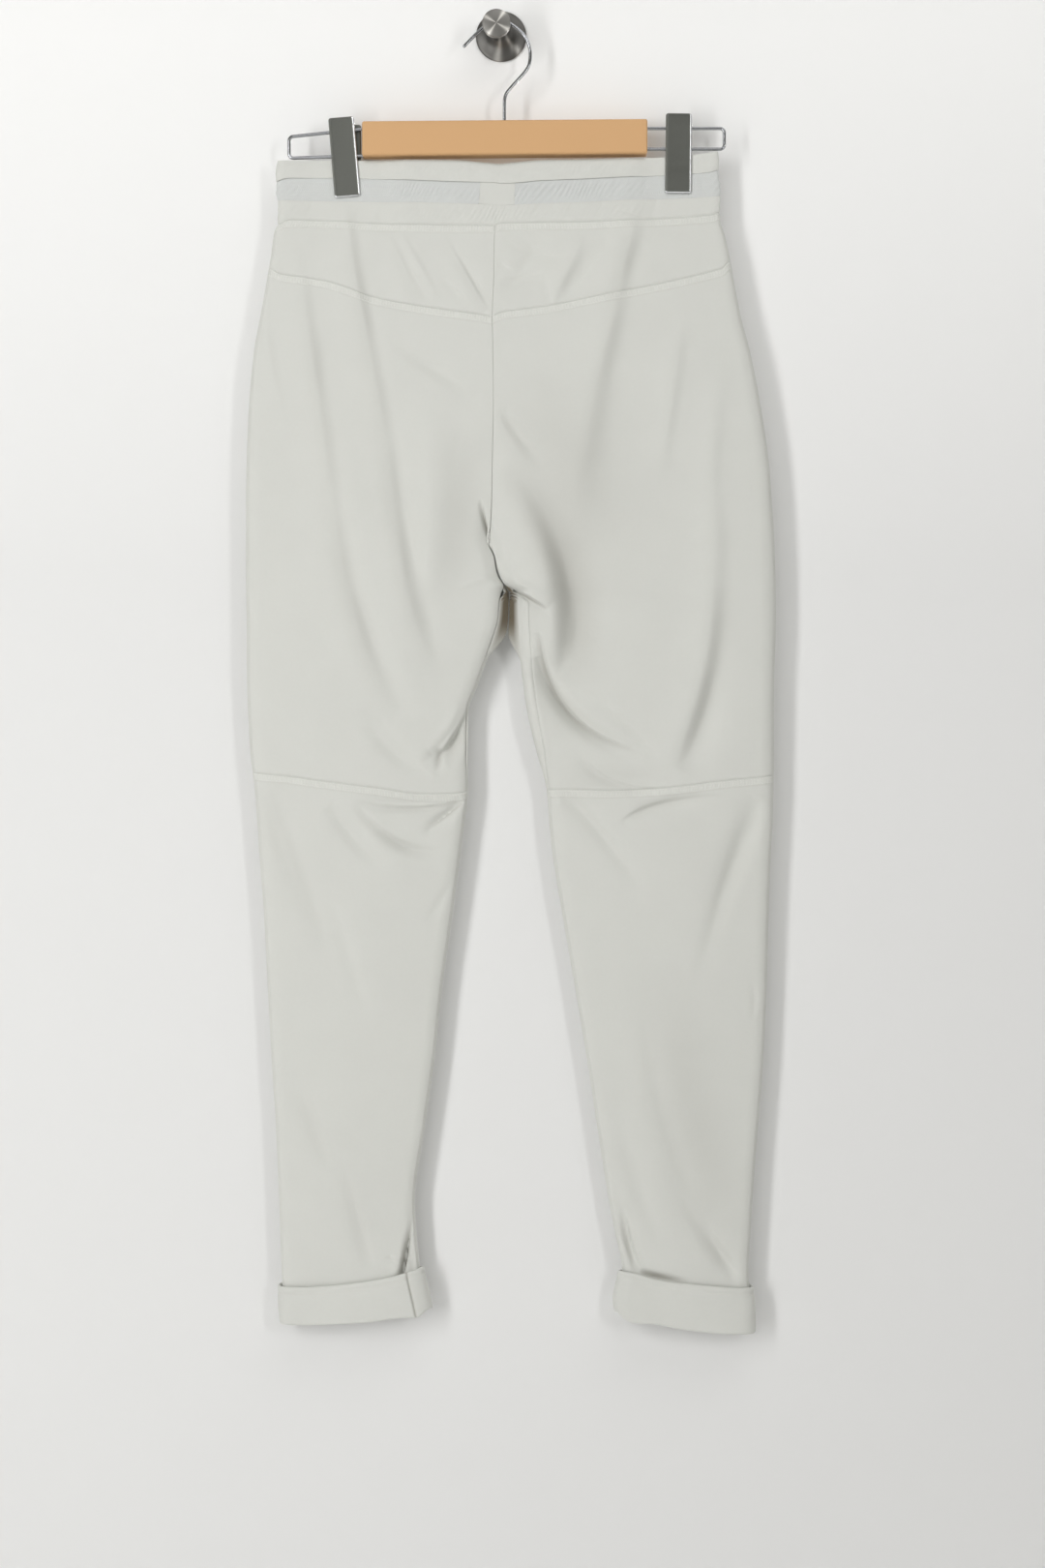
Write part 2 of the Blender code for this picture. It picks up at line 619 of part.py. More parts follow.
def edge_marks(half, seams, way):
    """Drops of a leg's waist, yoke and knee seams and its end, at its outseam (0) or inner edge (1)."""
    marks = [float(along_seam(half, seam, float(way))) for seam in seams]
    if way == 1:
        marks[0] = FRONT_CENTRE["waist"]
    return marks


def front_panels(finish, half, seams):
    """Front of a leg, wrapped round both edges, in three stretches that lie beside those of the back."""
    across = shares(ACROSS_FRONT)
    at_inner, at_side = edge_marks(half, seams, 1), edge_marks(half, seams, 0)
    last = 2 + OUTSEAM_TURN - FRONT_TURN_GAP
    for step, (place, spacing) in enumerate(FRONT_STRETCHES):
        down = shares(spacing)[:, None]
        inner = at_inner[step] + HALF + (at_inner[step + 1] - at_inner[step] - SEAM_GAP) * down
        side = at_side[step] + HALF + (at_side[step + 1] - at_side[step] - SEAM_GAP) * down
        ease = FRONT_EASE[step] + (FRONT_EASE[step + 1] - FRONT_EASE[step]) * down
        drops = inner + (side - inner) * (across + (ramp(across) - across) * ease)
        first = np.where(inner < CROTCH_DROP - 1, 1.0, inseam(half, inner) + FRONT_TURN_GAP)
        turns = first + (last - first) * across
        panel(f"front_{place}_{half}", finish, half, turns, drops, first, last)


def cuff(name, finish, half):
    """Turned-up cuff: a double wall outside the leg that bends in under the leg's end."""
    turns = np.linspace(0, 2, CUFF_COLUMNS, endpoint=False)
    turns = turns - CUFF_CROWDING * np.sin(2 * math.pi * turns) / (2 * math.pi)
    top = leg_drop(half, "cuff_top", turns)
    bottom = leg_drop(half, "cuff_bottom", turns)
    outside = CUFF_STAND_OFF + CUFF_WALL
    middles = [top + share * (bottom - top) for share in CUFF_HEIGHTS]
    profile = [(CUFF_STAND_OFF, top), (outside - CUFF_LIP, top)]
    profile += [(outside, drop) for drop in middles]
    profile += [(outside, bottom - CUFF_BEND), (outside - CUFF_BEND, bottom), (-WALL, bottom)]
    profile += [(-WALL, bottom - CUFF_WALL), (CUFF_STAND_OFF, bottom - CUFF_WALL)]
    profile += [(CUFF_STAND_OFF, drop) for drop in reversed(middles)]
    rings = []
    for out, drop in profile:
        normal = outward(half, turns, drop, -1.0, 3.0, folded=False)
        rings.append(face(half, turns, drop, folded=False) + out * normal)
    points = np.concatenate(rings)
    at = np.arange(len(points)).reshape(len(profile), CUFF_COLUMNS)
    faces = []
    for row in range(len(profile)):
        for column in range(CUFF_COLUMNS):
            next_row, next_column = (row + 1) % len(profile), (column + 1) % CUFF_COLUMNS
            quad = [at[row, column], at[row, next_column], at[next_row, next_column], at[next_row, column]]
            faces.append([int(corner) for corner in quad])
    return finish_object(name, finish, mesh_from(name, points, faces))


def wire(name, finish, points):
    """Round wire along points in millimetres, with filled ends."""
    curve = bpy.data.curves.new(name, "CURVE")
    curve.dimensions = "3D"
    curve.bevel_depth = WIRE_RADIUS * MM
    curve.bevel_resolution = WIRE_BEVEL
    curve.use_fill_caps = True
    line = curve.splines.new("POLY")
    line.points.add(len(points) - 1)
    for place, point in zip(line.points, points):
        place.co = [value * MM for value in point] + [1.0]
    curve.materials.append(finish)
    thing = bpy.data.objects.new(name, curve)
    bpy.context.scene.collection.objects.link(thing)
    return thing


def rail(shape, finish):
    """Hairpin of wire out of the bar's end, round its tip and back, with an arc at each corner."""
    way = math.copysign(1.0, shape.tip - shape.bar_end)
    start = shape.bar_end + way * SEAM_GAP
    points = [(start, HANGER_Y, -shape.top_bar)]
    corners = ((shape.top_tip + RAIL_BEND, 90), (shape.bottom_tip - RAIL_BEND, 0))
    for centre_drop, first_angle in corners:
        for step in range(RAIL_BEND_STEPS + 1):
            angle = math.radians(first_angle - 90 * step / RAIL_BEND_STEPS)
            along = shape.tip - way * RAIL_BEND * (1 - math.cos(angle))
            points.append((along, HANGER_Y, -centre_drop + RAIL_BEND * math.sin(angle)))
    points.append((start, HANGER_Y, -shape.bottom_bar))
    return wire(shape.name, finish, points)


def smooth_route(points, steps):
    """Points on a smooth curve through the given ones, each span a cubic set by its neighbours."""
    known = np.array([points[0]] + list(points) + [points[-1]], float)
    out = []
    for index in range(1, len(known) - 2):
        before, start, end, after = known[index - 1:index + 3]
        for step in range(steps):
            share = step / steps
            bend = (2 * before - 5 * start + 4 * end - after) * share ** 2
            twist = (-before + 3 * start - 3 * end + after) * share ** 3
            out.append(0.5 * (2 * start + (end - before) * share + bend + twist))
    out.append(known[-2])
    return out


def hook(finish):
    """Hanger hook: the route in the plane of the bar."""
    route = [(x, HANGER_Y, -drop) for x, drop in smooth_route(HOOK_ROUTE, HOOK_STEPS)]
    return wire("hook_wire", finish, route)


def clip_plate(shape, finish):
    """Flat clip plate with round corners, leaned about its centre."""
    outline = []
    corners = ((1, 1, 0), (-1, 1, 90), (-1, -1, 180), (1, -1, 270))
    for side, up, first_angle in corners:
        for step in range(CLIP_CORNER_STEPS + 1):
            angle = math.radians(first_angle + 90 * step / CLIP_CORNER_STEPS)
            along = side * (shape.width / 2 - CLIP_CORNER) + CLIP_CORNER * math.cos(angle)
            high = up * (shape.height / 2 - CLIP_CORNER) + CLIP_CORNER * math.sin(angle)
            outline.append((along, high))
    lean = math.radians(shape.lean)
    points = []
    for y in (shape.y, shape.y + CLIP_THICK):
        for along, high in outline:
            x = shape.x + along * math.cos(lean) - high * math.sin(lean)
            z = -shape.drop + along * math.sin(lean) + high * math.cos(lean)
            points.append((x, y, z))
    count = len(outline)
    faces = [list(range(count)), list(range(2 * count - 1, count - 1, -1))]
    for here in range(count):
        there = (here + 1) % count
        faces.append([here, there, there + count, here + count])
    return finish_object(shape.name, finish, mesh_from(shape.name, points, faces))


def bar(finish):
    """Wooden bar with eased edges."""
    mesh = bpy.data.meshes.new("hanger_bar")
    shape = bmesh.new()
    bmesh.ops.create_cube(shape, size=1.0)
    size = (BAR_RIGHT - BAR_LEFT, BAR_THICK, BAR_BOTTOM_DROP - BAR_TOP_DROP)
    middle = ((BAR_LEFT + BAR_RIGHT) / 2, HANGER_Y, -(BAR_TOP_DROP + BAR_BOTTOM_DROP) / 2)
    bmesh.ops.scale(shape, vec=[value * MM for value in size], verts=shape.verts)
    bmesh.ops.translate(shape, vec=[value * MM for value in middle], verts=shape.verts)
    bmesh.ops.bevel(shape, geom=shape.edges, offset=BAR_EASE * MM, segments=1, affect="EDGES")
    shape.to_mesh(mesh)
    shape.free()
    return finish_object("hanger_bar", finish, mesh)


def knob(finish):
    """Turned steel knob: wide flange, waisted neck and round front disc."""
    points = []
    for out, radius in KNOB_PROFILE:
        for step in range(KNOB_SIDES):
            angle = 2 * math.pi * step / KNOB_SIDES
            points.append((radius * math.cos(angle), -out, radius * math.sin(angle)))
    rings = len(KNOB_PROFILE)
    faces = [list(range(KNOB_SIDES)), [(rings - 1) * KNOB_SIDES + step for step in range(KNOB_SIDES)]]
    for ring in range(rings - 1):
        for step in range(KNOB_SIDES):
            here = ring * KNOB_SIDES + step
            there = ring * KNOB_SIDES + (step + 1) % KNOB_SIDES
            faces.append([here, there, there + KNOB_SIDES, here + KNOB_SIDES])
    return finish_object("wall_knob", finish, mesh_from("wall_knob", points, faces))


def material(name, colour, roughness, metallic=0.0):
    """Principled material of one colour."""
    finish = bpy.data.materials.new(name)
    finish.use_nodes = True
    shader = finish.node_tree.nodes["Principled BSDF"]
    shader.inputs["Base Color"].default_value = (*colour, 1.0)
    shader.inputs["Roughness"].default_value = roughness
    shader.inputs["Metallic"].default_value = metallic
    return finish


def build_garment():
    """All cloth pieces of both halves."""
    jersey = material("jersey", (0.66, 0.665, 0.63), 0.9)
    rib = material("rib", (0.62, 0.65, 0.68), 0.85)
    rib_ends = {"left": RIB_END_LEFT, "right": RIB_END_RIGHT}
    for half in ("left", "right"):
        rib_end = way_at(half, rib_ends[half]) - RIB_END_TURN_GAP
        band(f"waist_top_{half}", jersey, half, "top", "fold", 1.0, 2)
        band(f"waist_rib_{half}", rib, half, "fold", "rib", rib_end, 1)
        band(f"waist_low_{half}", jersey, half, "rib", "waist", 1.0, 1)
        seams = seams_down(half)
        back_panel(f"yoke_{half}", jersey, half, seams[0], seams[1], YOKE_ROWS)
        back_panel(f"back_thigh_{half}", jersey, half, seams[1], seams[2], THIGH_ROWS)
        back_panel(f"back_calf_{half}", jersey, half, seams[2], seams[3], CALF_ROWS)
        front_panels(jersey, half, seams)
        cuff(f"cuff_{half}", jersey, half)
    back_piece(jersey)


def build_hanger():
    """Bar, rails, clips and hook."""
    wood = material("wood", (0.64, 0.38, 0.18), 0.5)
    chrome = material("chrome", (0.80, 0.80, 0.80), 0.15, 1.0)
    steel = material("clip_steel", (0.30, 0.30, 0.28), 0.35, 1.0)
    bar(wood)
    for shape in RAILS:
        rail(shape, chrome)
    for shape in CLIP_PLATES:
        clip_plate(shape, steel)
    hook(chrome)


def main():
    for thing in list(bpy.data.objects):
        bpy.data.objects.remove(thing, do_unlink=True)
    build_garment()
    build_hanger()
    knob(material("brushed_steel", (0.45, 0.44, 0.42), 0.3, 1.0))


main()
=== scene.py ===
"""Looks of a pair of sweatpants hung by the waistband, back outwards, from a clip hanger on a wall knob.

Blender 4.5, laid out as an add-on and run as a script. +Z is up, +X is the viewer's right, the wall is
the plane y = 0 and the viewer stands at -Y. The origin is the centre of the knob's back face.

The tables are in millimetres. "drop" is the distance below the knob's centre, so z = -drop. Left and
right are the wearer's and the viewer's too, because the back of the garment shows.

The cloth is one surface for each half. "turn" runs round it: 0 to 1 over the back, from the side edge
to the inner edge, and 1 to 2 over the front, back to the side edge.
"""

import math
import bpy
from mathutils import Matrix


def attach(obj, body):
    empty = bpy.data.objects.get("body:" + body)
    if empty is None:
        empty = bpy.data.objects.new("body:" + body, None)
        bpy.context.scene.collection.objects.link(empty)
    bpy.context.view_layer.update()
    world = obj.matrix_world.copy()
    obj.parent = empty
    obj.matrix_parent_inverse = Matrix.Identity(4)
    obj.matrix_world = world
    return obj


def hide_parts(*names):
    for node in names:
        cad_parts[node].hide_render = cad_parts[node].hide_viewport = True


bl_info = {
    "name": "Hung sweatpants",
    "version": (1, 0, 0),
    "blender": (4, 5, 0),
    "location": "3D View > Sidebar > Sweatpants",
    "description": "Builds the cloth, sewing, clip hanger and wall knob of a pair of hung sweatpants",
    "category": "Add Mesh",
}

from collections import namedtuple

import bpy
import numpy as np
from bpy.props import FloatProperty, FloatVectorProperty, PointerProperty
from bpy.types import Operator, Panel, PropertyGroup

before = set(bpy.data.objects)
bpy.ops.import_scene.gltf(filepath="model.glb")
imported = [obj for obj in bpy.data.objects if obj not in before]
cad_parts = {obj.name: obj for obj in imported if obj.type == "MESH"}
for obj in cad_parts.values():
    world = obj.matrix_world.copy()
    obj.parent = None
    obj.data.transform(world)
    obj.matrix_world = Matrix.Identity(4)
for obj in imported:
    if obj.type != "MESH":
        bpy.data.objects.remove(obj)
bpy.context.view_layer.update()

MM = 0.001
HALVES = ("left", "right")

# Turns of the outseam and the inseam, the share of the turn that each rounded edge takes, and the depth
# of the cloth beside an edge as a share of its full depth.
OUTSEAM_TURN, INSEAM_TURN = 0.035, 0.965
EDGE_SHARE = 0.12
EDGE_DEPTH = 0.62

# Drop of the crotch, and the stretch below it over which the seam leaves the inner edge.
CROTCH_DROP = 462.0
INSEAM_EASE = 14.0

# A turn that is too small to see, and the gap in turns between the front panels and the back ones.
TINY_TURN = 1e-7
FRONT_TURN_GAP = 0.001

# Width beside the side edge in which folds fade, as a multiple of how far that edge rounds over.
CALM_REACH = 1.6

# Half the gap between neighbouring panels at a seam.
HALF_GAP = 0.04

# How far each half is drawn in to close the gap along the centre seam, above the crotch. Then where the
# seam leans aside as it meets the wedge and the flap: shift, drop of its middle and reach.
CENTRE_CLOSE = 0.17
CENTRE_LEANS = [(-3.2, 428.0, 8.0), (-1.9, 451.0, 11.0)]

# How much higher the turned top edge of the waistband reaches than the CAD's wall, under the bar.
TOP_EDGE_RISE = 1.8

# Stretch of drop over which the seat's one broad crown becomes a crown on each leg.
LEGS_START_DROP, LEGS_CHANGE = 380.0, 140.0

# Ends of the rib stripe beside the centre seam, the drop at which they are measured, and half the gap
# in turns between the rib and the plain piece.
RIB_ENDS = {"left": -17.6, "right": 11.6}
RIB_MIDDLE_DROP = 138.0
RIB_END_TURN_GAP = 0.0002

# Turned-up cuff: its double wall, how far it stands off the leg, and how far the leg's end lies above
# the cuff's lower edge.
CUFF_WALL = 2.4
CUFF_STAND_OFF = 1.4
LEG_END_RISE = CUFF_WALL + 0.8

# Plane of the hanger, and its wooden bar: ends, top and bottom, thickness, fall to the right, radius of
# its long edges, how its ends are eased (distance in, set-in), and the stations between them.
HANGER_Y = -22.0
BAR_LEFT, BAR_RIGHT = -114.8, 121.2
BAR_TOP_DROP, BAR_BOTTOM_DROP = 79.0, 107.6
BAR_THICK = 14.0
BAR_SLOPE = 0.008
BAR_CORNER = 2.2
BAR_EASE = ((0.0, 1.6), (0.2, 0.9), (0.6, 0.35), (1.2, 0.05), (2.0, 0.0))
BAR_PLAIN, BAR_STATIONS = 10.0, 20

# Rails: radius of their bends, points on each bend, how far they reach into the bar, and the wire's sides.
RAIL_BEND, RAIL_BEND_STEPS = 3.6, 13
RAIL_IN_BAR, RAIL_SIDES = 4.0, 14

Rail = namedtuple("Rail", "name bar_end tip top_bar top_tip bottom_bar bottom_tip")
RAILS = [
    Rail("rail_left", BAR_LEFT, -175.6, 83.6, 90.0, 106.0, 108.0),
    Rail("rail_right", BAR_RIGHT, 185.2, 83.4, 83.4, 100.6, 100.6),
]

# Clip plates: centre, size, lean in degrees, and y of the side that faces the viewer.
Plate = namedtuple("Plate", "name x drop width height lean y")
CLIP_FACES = [
    Plate("clip_face_left", -129.6, 108.0, 21.4, 66.5, 4.85, -25.2),
    Plate("clip_face_right", 147.2, 104.9, 21.8, 66.6, -0.6, -25.2),
]
CLIP_JAWS = [
    Plate("clip_jaw_left", -127.0, 109.6, 22.0, 60.0, 0.0, -20.0),
    Plate("clip_jaw_right", 147.0, 106.0, 20.0, 60.0, 0.0, -20.0),
]

# Thickness of a clip's plates and radius of their corners. Points on a round corner and its least radius.
CLIP_THICK, CLIP_CORNER = 1.2, 2.2
CORNER_POINTS, LEAST_CORNER = 7, 0.05

# Sections of a clip's face and jaw: set-in and depth from the front. The face has a raised, rolled rim,
# which is the strips between its first rings up to this count.
CLIP_RIM_RINGS = 7
CLIP_FACE_RINGS = [(0.5, CLIP_THICK), (0.1, 1.1), (0.0, 0.8), (0.08, 0.4), (0.35, 0.08), (0.75, 0.0),
                   (1.15, 0.06), (1.45, 0.25), (1.9, 0.34), (2.6, 0.36)]
CLIP_JAW_RINGS = [(0.3, CLIP_THICK), (0.0, 0.9), (0.0, 0.3), (0.3, 0.0), (1.5, 0.0)]

# Hook wire from its tip, over the knob's neck and down into the bar: x and drop of each point.
HOOK_ROUTE = [
    (-30.3, 15.2), (-26.0, 10.6), (-20.0, 4.6), (-14.2, -0.4), (-8.4, -4.6), (-2.6, -6.7), (3.2, -6.0),
    (9.0, -2.6), (14.6, 1.6), (19.4, 6.6), (22.6, 12.6), (24.2, 19.2), (24.2, 26.0), (22.8, 32.0),
    (19.4, 37.2), (14.0, 43.2), (8.6, 49.2), (4.8, 54.0), (3.2, 58.6), (2.9, 65.0), (2.9, 78.7),
]

# Steps between two points of the hook, sides of its wire, angles of its round tip, and the share of the
# radius at its very end.
HOOK_STEPS, HOOK_SIDES = 6, 16
TIP_ANGLES, TIP_END_SHARE = (90, 72, 50, 25, 0), 0.05

# Turned profile of the wall knob, from the wall outwards: distance out from the wall and radius.
KNOB_PROFILE = [
    (0.0, 20.9), (0.3, 21.2), (1.2, 21.2), (1.8, 20.6), (2.4, 18.0), (4.0, 13.4), (7.0, 9.4), (11.0, 7.0),
    (16.0, 6.4), (20.0, 5.9), (24.0, 5.9), (28.0, 6.4), (32.0, 7.6), (35.0, 10.0), (36.4, 11.3),
    (37.0, 11.6), (40.0, 11.6), (40.6, 11.4), (40.8, 11.0), (40.8, 3.0),
]

# Sides of the knob. Then how far its disc has sagged to the left and down, and the distance out from the
# wall at which that is reached.
KNOB_SIDES = 96
KNOB_SAG = (-3.6, -2.2)
KNOB_SAG_REACH = 36.4

# Directions of the painted highlights, the streaks of light on the turned disc and on the flange behind it,
# in degrees. Then their width, the distance out where the disc starts, and a radius too small to see, in
# metres.
DISC_HIGHLIGHTS, FLANGE_HIGHLIGHTS = (55.0, 150.0), (82.0, 136.0)
HIGHLIGHT_WIDTH = 0.17
DISC_STARTS = 33.0
TINY_RADIUS = 1e-5

Table = namedtuple("Table", "columns rows")


def table(heading, rows):
    """Table with named columns. The first column rises down the rows."""
    return Table(heading.split(), np.array(rows, float))


# Outline of the hung garment: x of each half's side edge and inner edge.
OUTLINE = table("drop left_side left_inner right_inner right_side", [
    (104, -185.0, -2.2, -1.8, 180.0),
    (120, -185.5, -2.2, -1.8, 180.0),
    (135, -186.0, -2.7, -2.3, 182.0),
    (150, -184.5, -3.7, -3.3, 181.5),
    (162, -185.0, -4.7, -4.3, 182.5),
    (170, -188.0, -5.2, -4.8, 185.0),
    (186, -190.3, -5.7, -5.3, 189.0),
    (200, -192.5, -5.7, -5.3, 191.5),
    (242, -200.0, -7.2, -6.8, 199.5),
    (266, -204.5, -6.7, -6.3, 206.0),
    (314, -209.0, -6.2, -5.8, 215.5),
    (362, -211.0, -7.2, -6.8, 222.5),
    (394, -211.5, -7.7, -7.3, 225.0),
    (416, -211.5, -8.7, -8.3, 226.5),
    (438, -211.5, -4.7, -4.3, 227.5),
    (456, -211.5, 0.3, 0.7, 228.0),
    (462, -211.5, 3.0, 4.2, 228.2),
    (468, -211.5, 1.0, 12.6, 228.3),
    (490, -211.0, -1.0, 13.2, 228.4),
    (516, -211.0, -9.0, 15.3, 227.8),
    (544, -210.8, -19.0, 18.4, 226.9),
    (567, -210.0, -27.0, 21.8, 226.8),
    (602, -208.0, -27.6, 30.0, 226.8),
    (632, -204.5, -27.0, 38.0, 226.5),
    (658, -202.5, -30.0, 40.0, 225.8),
    (682, -201.0, -33.0, 42.5, 224.5),
    (738, -196.8, -40.5, 51.5, 222.5),
    (794, -194.0, -48.5, 61.2, 221.0),
    (858, -190.5, -55.5, 71.8, 218.0),
    (914, -187.0, -63.5, 80.3, 213.5),
    (974, -184.5, -71.5, 89.8, 209.0),
    (1000, -183.5, -70.0, 94.8, 207.6),
    (1030, -182.3, -67.0, 100.6, 205.8),
    (1056, -181.0, -61.5, 97.0, 207.0),
    (1082, -179.5, -56.0, 103.0, 208.0),
])

# Half the thickness of the hung garment, where its middle lies, and how far its edges round over.
DEPTHS = table("drop depth middle edge", [
    (104, 4.6, -22.0, 7.0),
    (125, 4.6, -22.0, 7.0),
    (165, 5.6, -22.0, 8.0),
    (230, 8.5, -22.0, 10.0),
    (320, 11.5, -21.5, 12.0),
    (440, 13.0, -20.5, 13.0),
    (560, 12.0, -19.5, 13.0),
    (660, 11.0, -18.5, 12.0),
    (800, 9.0, -17.5, 11.0),
    (950, 8.0, -17.5, 10.0),
    (1082, 7.6, -17.5, 9.0),
])

# How far each half has closed round the inside of the leg: 0 is open at the centre seam.
CLOSING = table("drop closure", [
    (300, 0.0),
    (400, 0.15),
    (440, 0.55),
    (456, 0.93),
    (462, 1.0),
    (1082, 1.0),
])

# Seams across the back of the waist, by how far they are from the side edge to the centre.
WAIST = {
    "left": table("across top fold rib waist yoke", [
        (0.00, 112.4, 127.6, 143.6, 163.0, 199.6),
        (0.05, 112.4, 127.4, 143.6, 162.8, 200.0),
        (0.14, 112.4, 125.4, 143.8, 159.6, 205.2),
        (0.30, 112.4, 125.0, 144.2, 160.6, 210.8),
        (0.45, 112.4, 125.8, 144.8, 162.4, 222.0),
        (0.57, 112.4, 127.0, 145.4, 163.6, 228.4),
        (0.75, 112.8, 128.6, 146.4, 164.4, 234.8),
        (0.90, 115.4, 129.4, 147.6, 164.6, 239.6),
        (1.00, 116.0, 130.0, 148.4, 165.2, 242.0),
    ]),
    "right": table("across top fold rib waist yoke", [
        (0.00, 104.4, 118.0, 139.6, 153.2, 194.0),
        (0.05, 104.6, 118.4, 139.8, 153.4, 194.6),
        (0.11, 105.6, 120.0, 140.5, 155.2, 199.6),
        (0.27, 109.4, 122.6, 142.0, 158.0, 209.2),
        (0.43, 110.8, 124.4, 143.4, 160.0, 217.2),
        (0.60, 112.0, 126.4, 145.4, 161.8, 225.2),
        (0.75, 112.6, 127.8, 146.6, 162.2, 232.4),
        (0.90, 115.4, 130.4, 148.2, 162.8, 237.2),
        (1.00, 116.0, 130.0, 148.4, 165.2, 242.0),
    ]),
}

# The same seams where they meet at the centre of the front.
FRONT_CENTRE = {"top": 121.0, "fold": 135.0, "rib": 152.0, "waist": 168.0}

# Knee seam and cuff edges, across the back of each leg from its side edge to its inner edge.
LEG = {
    "left": table("across knee cuff_top cuff_bottom", [
        (0.00, 616.4, 1043.2, 1074.5),
        (0.19, 619.6, 1043.2, 1074.4),
        (0.33, 623.6, 1042.0, 1073.6),
        (0.58, 630.0, 1038.6, 1071.6),
        (0.76, 634.8, 1034.6, 1068.6),
        (0.87, 634.8, 1031.0, 1068.2),
        (0.93, 633.6, 1028.8, 1063.0),
        (1.00, 631.2, 1025.6, 1060.4),
    ]),
    "right": table("across knee cuff_top cuff_bottom", [
        (0.00, 618.8, 1044.6, 1082.4),
        (0.13, 621.2, 1044.0, 1082.2),
        (0.28, 624.4, 1042.4, 1081.4),
        (0.42, 628.4, 1040.8, 1079.6),
        (0.58, 630.8, 1039.0, 1077.0),
        (0.72, 631.6, 1036.4, 1073.6),
        (0.88, 631.0, 1031.6, 1072.6),
        (1.00, 631.2, 1030.2, 1060.4),
    ]),
}

# How far the right leg's inseam lies round from the inner edge, on the side that shows.
INSEAM_RIGHT = table("drop turn", [
    (462, 0.965),
    (478, 0.900),
    (560, 0.905),
    (600, 0.920),
    (630, 0.965),
])

Fold = namedtuple("Fold", "height over under peak x0 drop0 x1 drop1 x2 drop2")


def folds(rows):
    """The folds whose values the rows give in order."""
    return [Fold(*row) for row in rows]


# Large folds of the back, each along a curve through three points. height is out (+) or in (-). over is
# the spread on the upper or right-hand side of the curve, under on the other side. peak is where along
# the curve it is strongest.
LARGE_FOLDS = folds([
    # Left hip and thigh, falling from the yoke and the clip
    (-3.6, 10, 15, 0.60, -161, 237, -129, 442, -76, 573),
    (-3.6, 9, 13, 0.62, -123, 170, -97, 330, -51, 532),
    (2.0, 16, 14, 0.55, -142, 250, -112, 430, -62, 560),
    (-2.2, 6, 6, 0.55, -48, 172, -28, 206, -9, 237),
    (-1.6, 7, 7, 0.50, -92, 172, -76, 206, -60, 233),
    (-5.5, 5, 7, 0.60, -17, 396, -9, 424, 0, 456),
    # Left thigh over the knee
    (-5.5, 5, 13, 0.50, -64, 612, -43, 588, -25, 560),
    (-2.4, 8, 12, 0.50, -110, 560, -86, 596, -56, 622),
    # Right hip, seat and thigh
    (-2.4, 9, 9, 0.50, 117, 176, 96, 218, 55, 295),
    (-2.0, 7, 8, 0.50, 90, 173, 68, 205, 42, 237),
    (-1.8, 9, 7, 0.50, 36, 172, 22, 196, 2, 226),
    (-2.6, 14, 8, 0.60, 2, 320, 20, 344, 38, 366),
    (-9.0, 20, 10, 0.62, 4, 356, 56, 452, 48, 544),
    (3.5, 8, 16, 0.70, 8, 390, 36, 464, 43, 536),
    (4.0, 18, 5, 0.45, 2, 456, 18, 466, 38, 483),
    (-6.5, 6, 15, 0.35, 29, 522, 62, 572, 122, 600),
    (-2.8, 9, 8, 0.60, 50, 590, 92, 620, 150, 622),
    (-4.5, 15, 8, 0.75, 183, 442, 178, 536, 149, 616),
    # Left calf
    (-2.6, 5, 9, 0.60, -124, 638, -86, 643, -30, 640),
    (-3.2, 6, 6, 0.40, -29, 641, -50, 656, -64, 670),
    (-2.2, 8, 9, 0.50, -104, 661, -78, 677, -50, 681),
    (-2.4, 8, 8, 0.40, -140, 644, -118, 672, -92, 697),
    (-3.6, 12, 9, 0.35, -200, 640, -175, 690, -137, 782),
    (-6.0, 6, 6, 0.75, -74, 975, -77, 1008, -80, 1045),
    # Right calf
    (-2.6, 5, 9, 0.45, 109, 652, 138, 642, 174, 636),
    (-3.6, 9, 11, 0.35, 216, 640, 198, 684, 166, 764),
    (-2.6, 9, 9, 0.45, 50, 640, 78, 664, 116, 712),
    (-4.0, 6, 6, 0.60, 98, 975, 105, 1002, 119, 1040),
    (-2.4, 8, 8, 0.60, 162, 974, 180, 1010, 198, 1040),
])

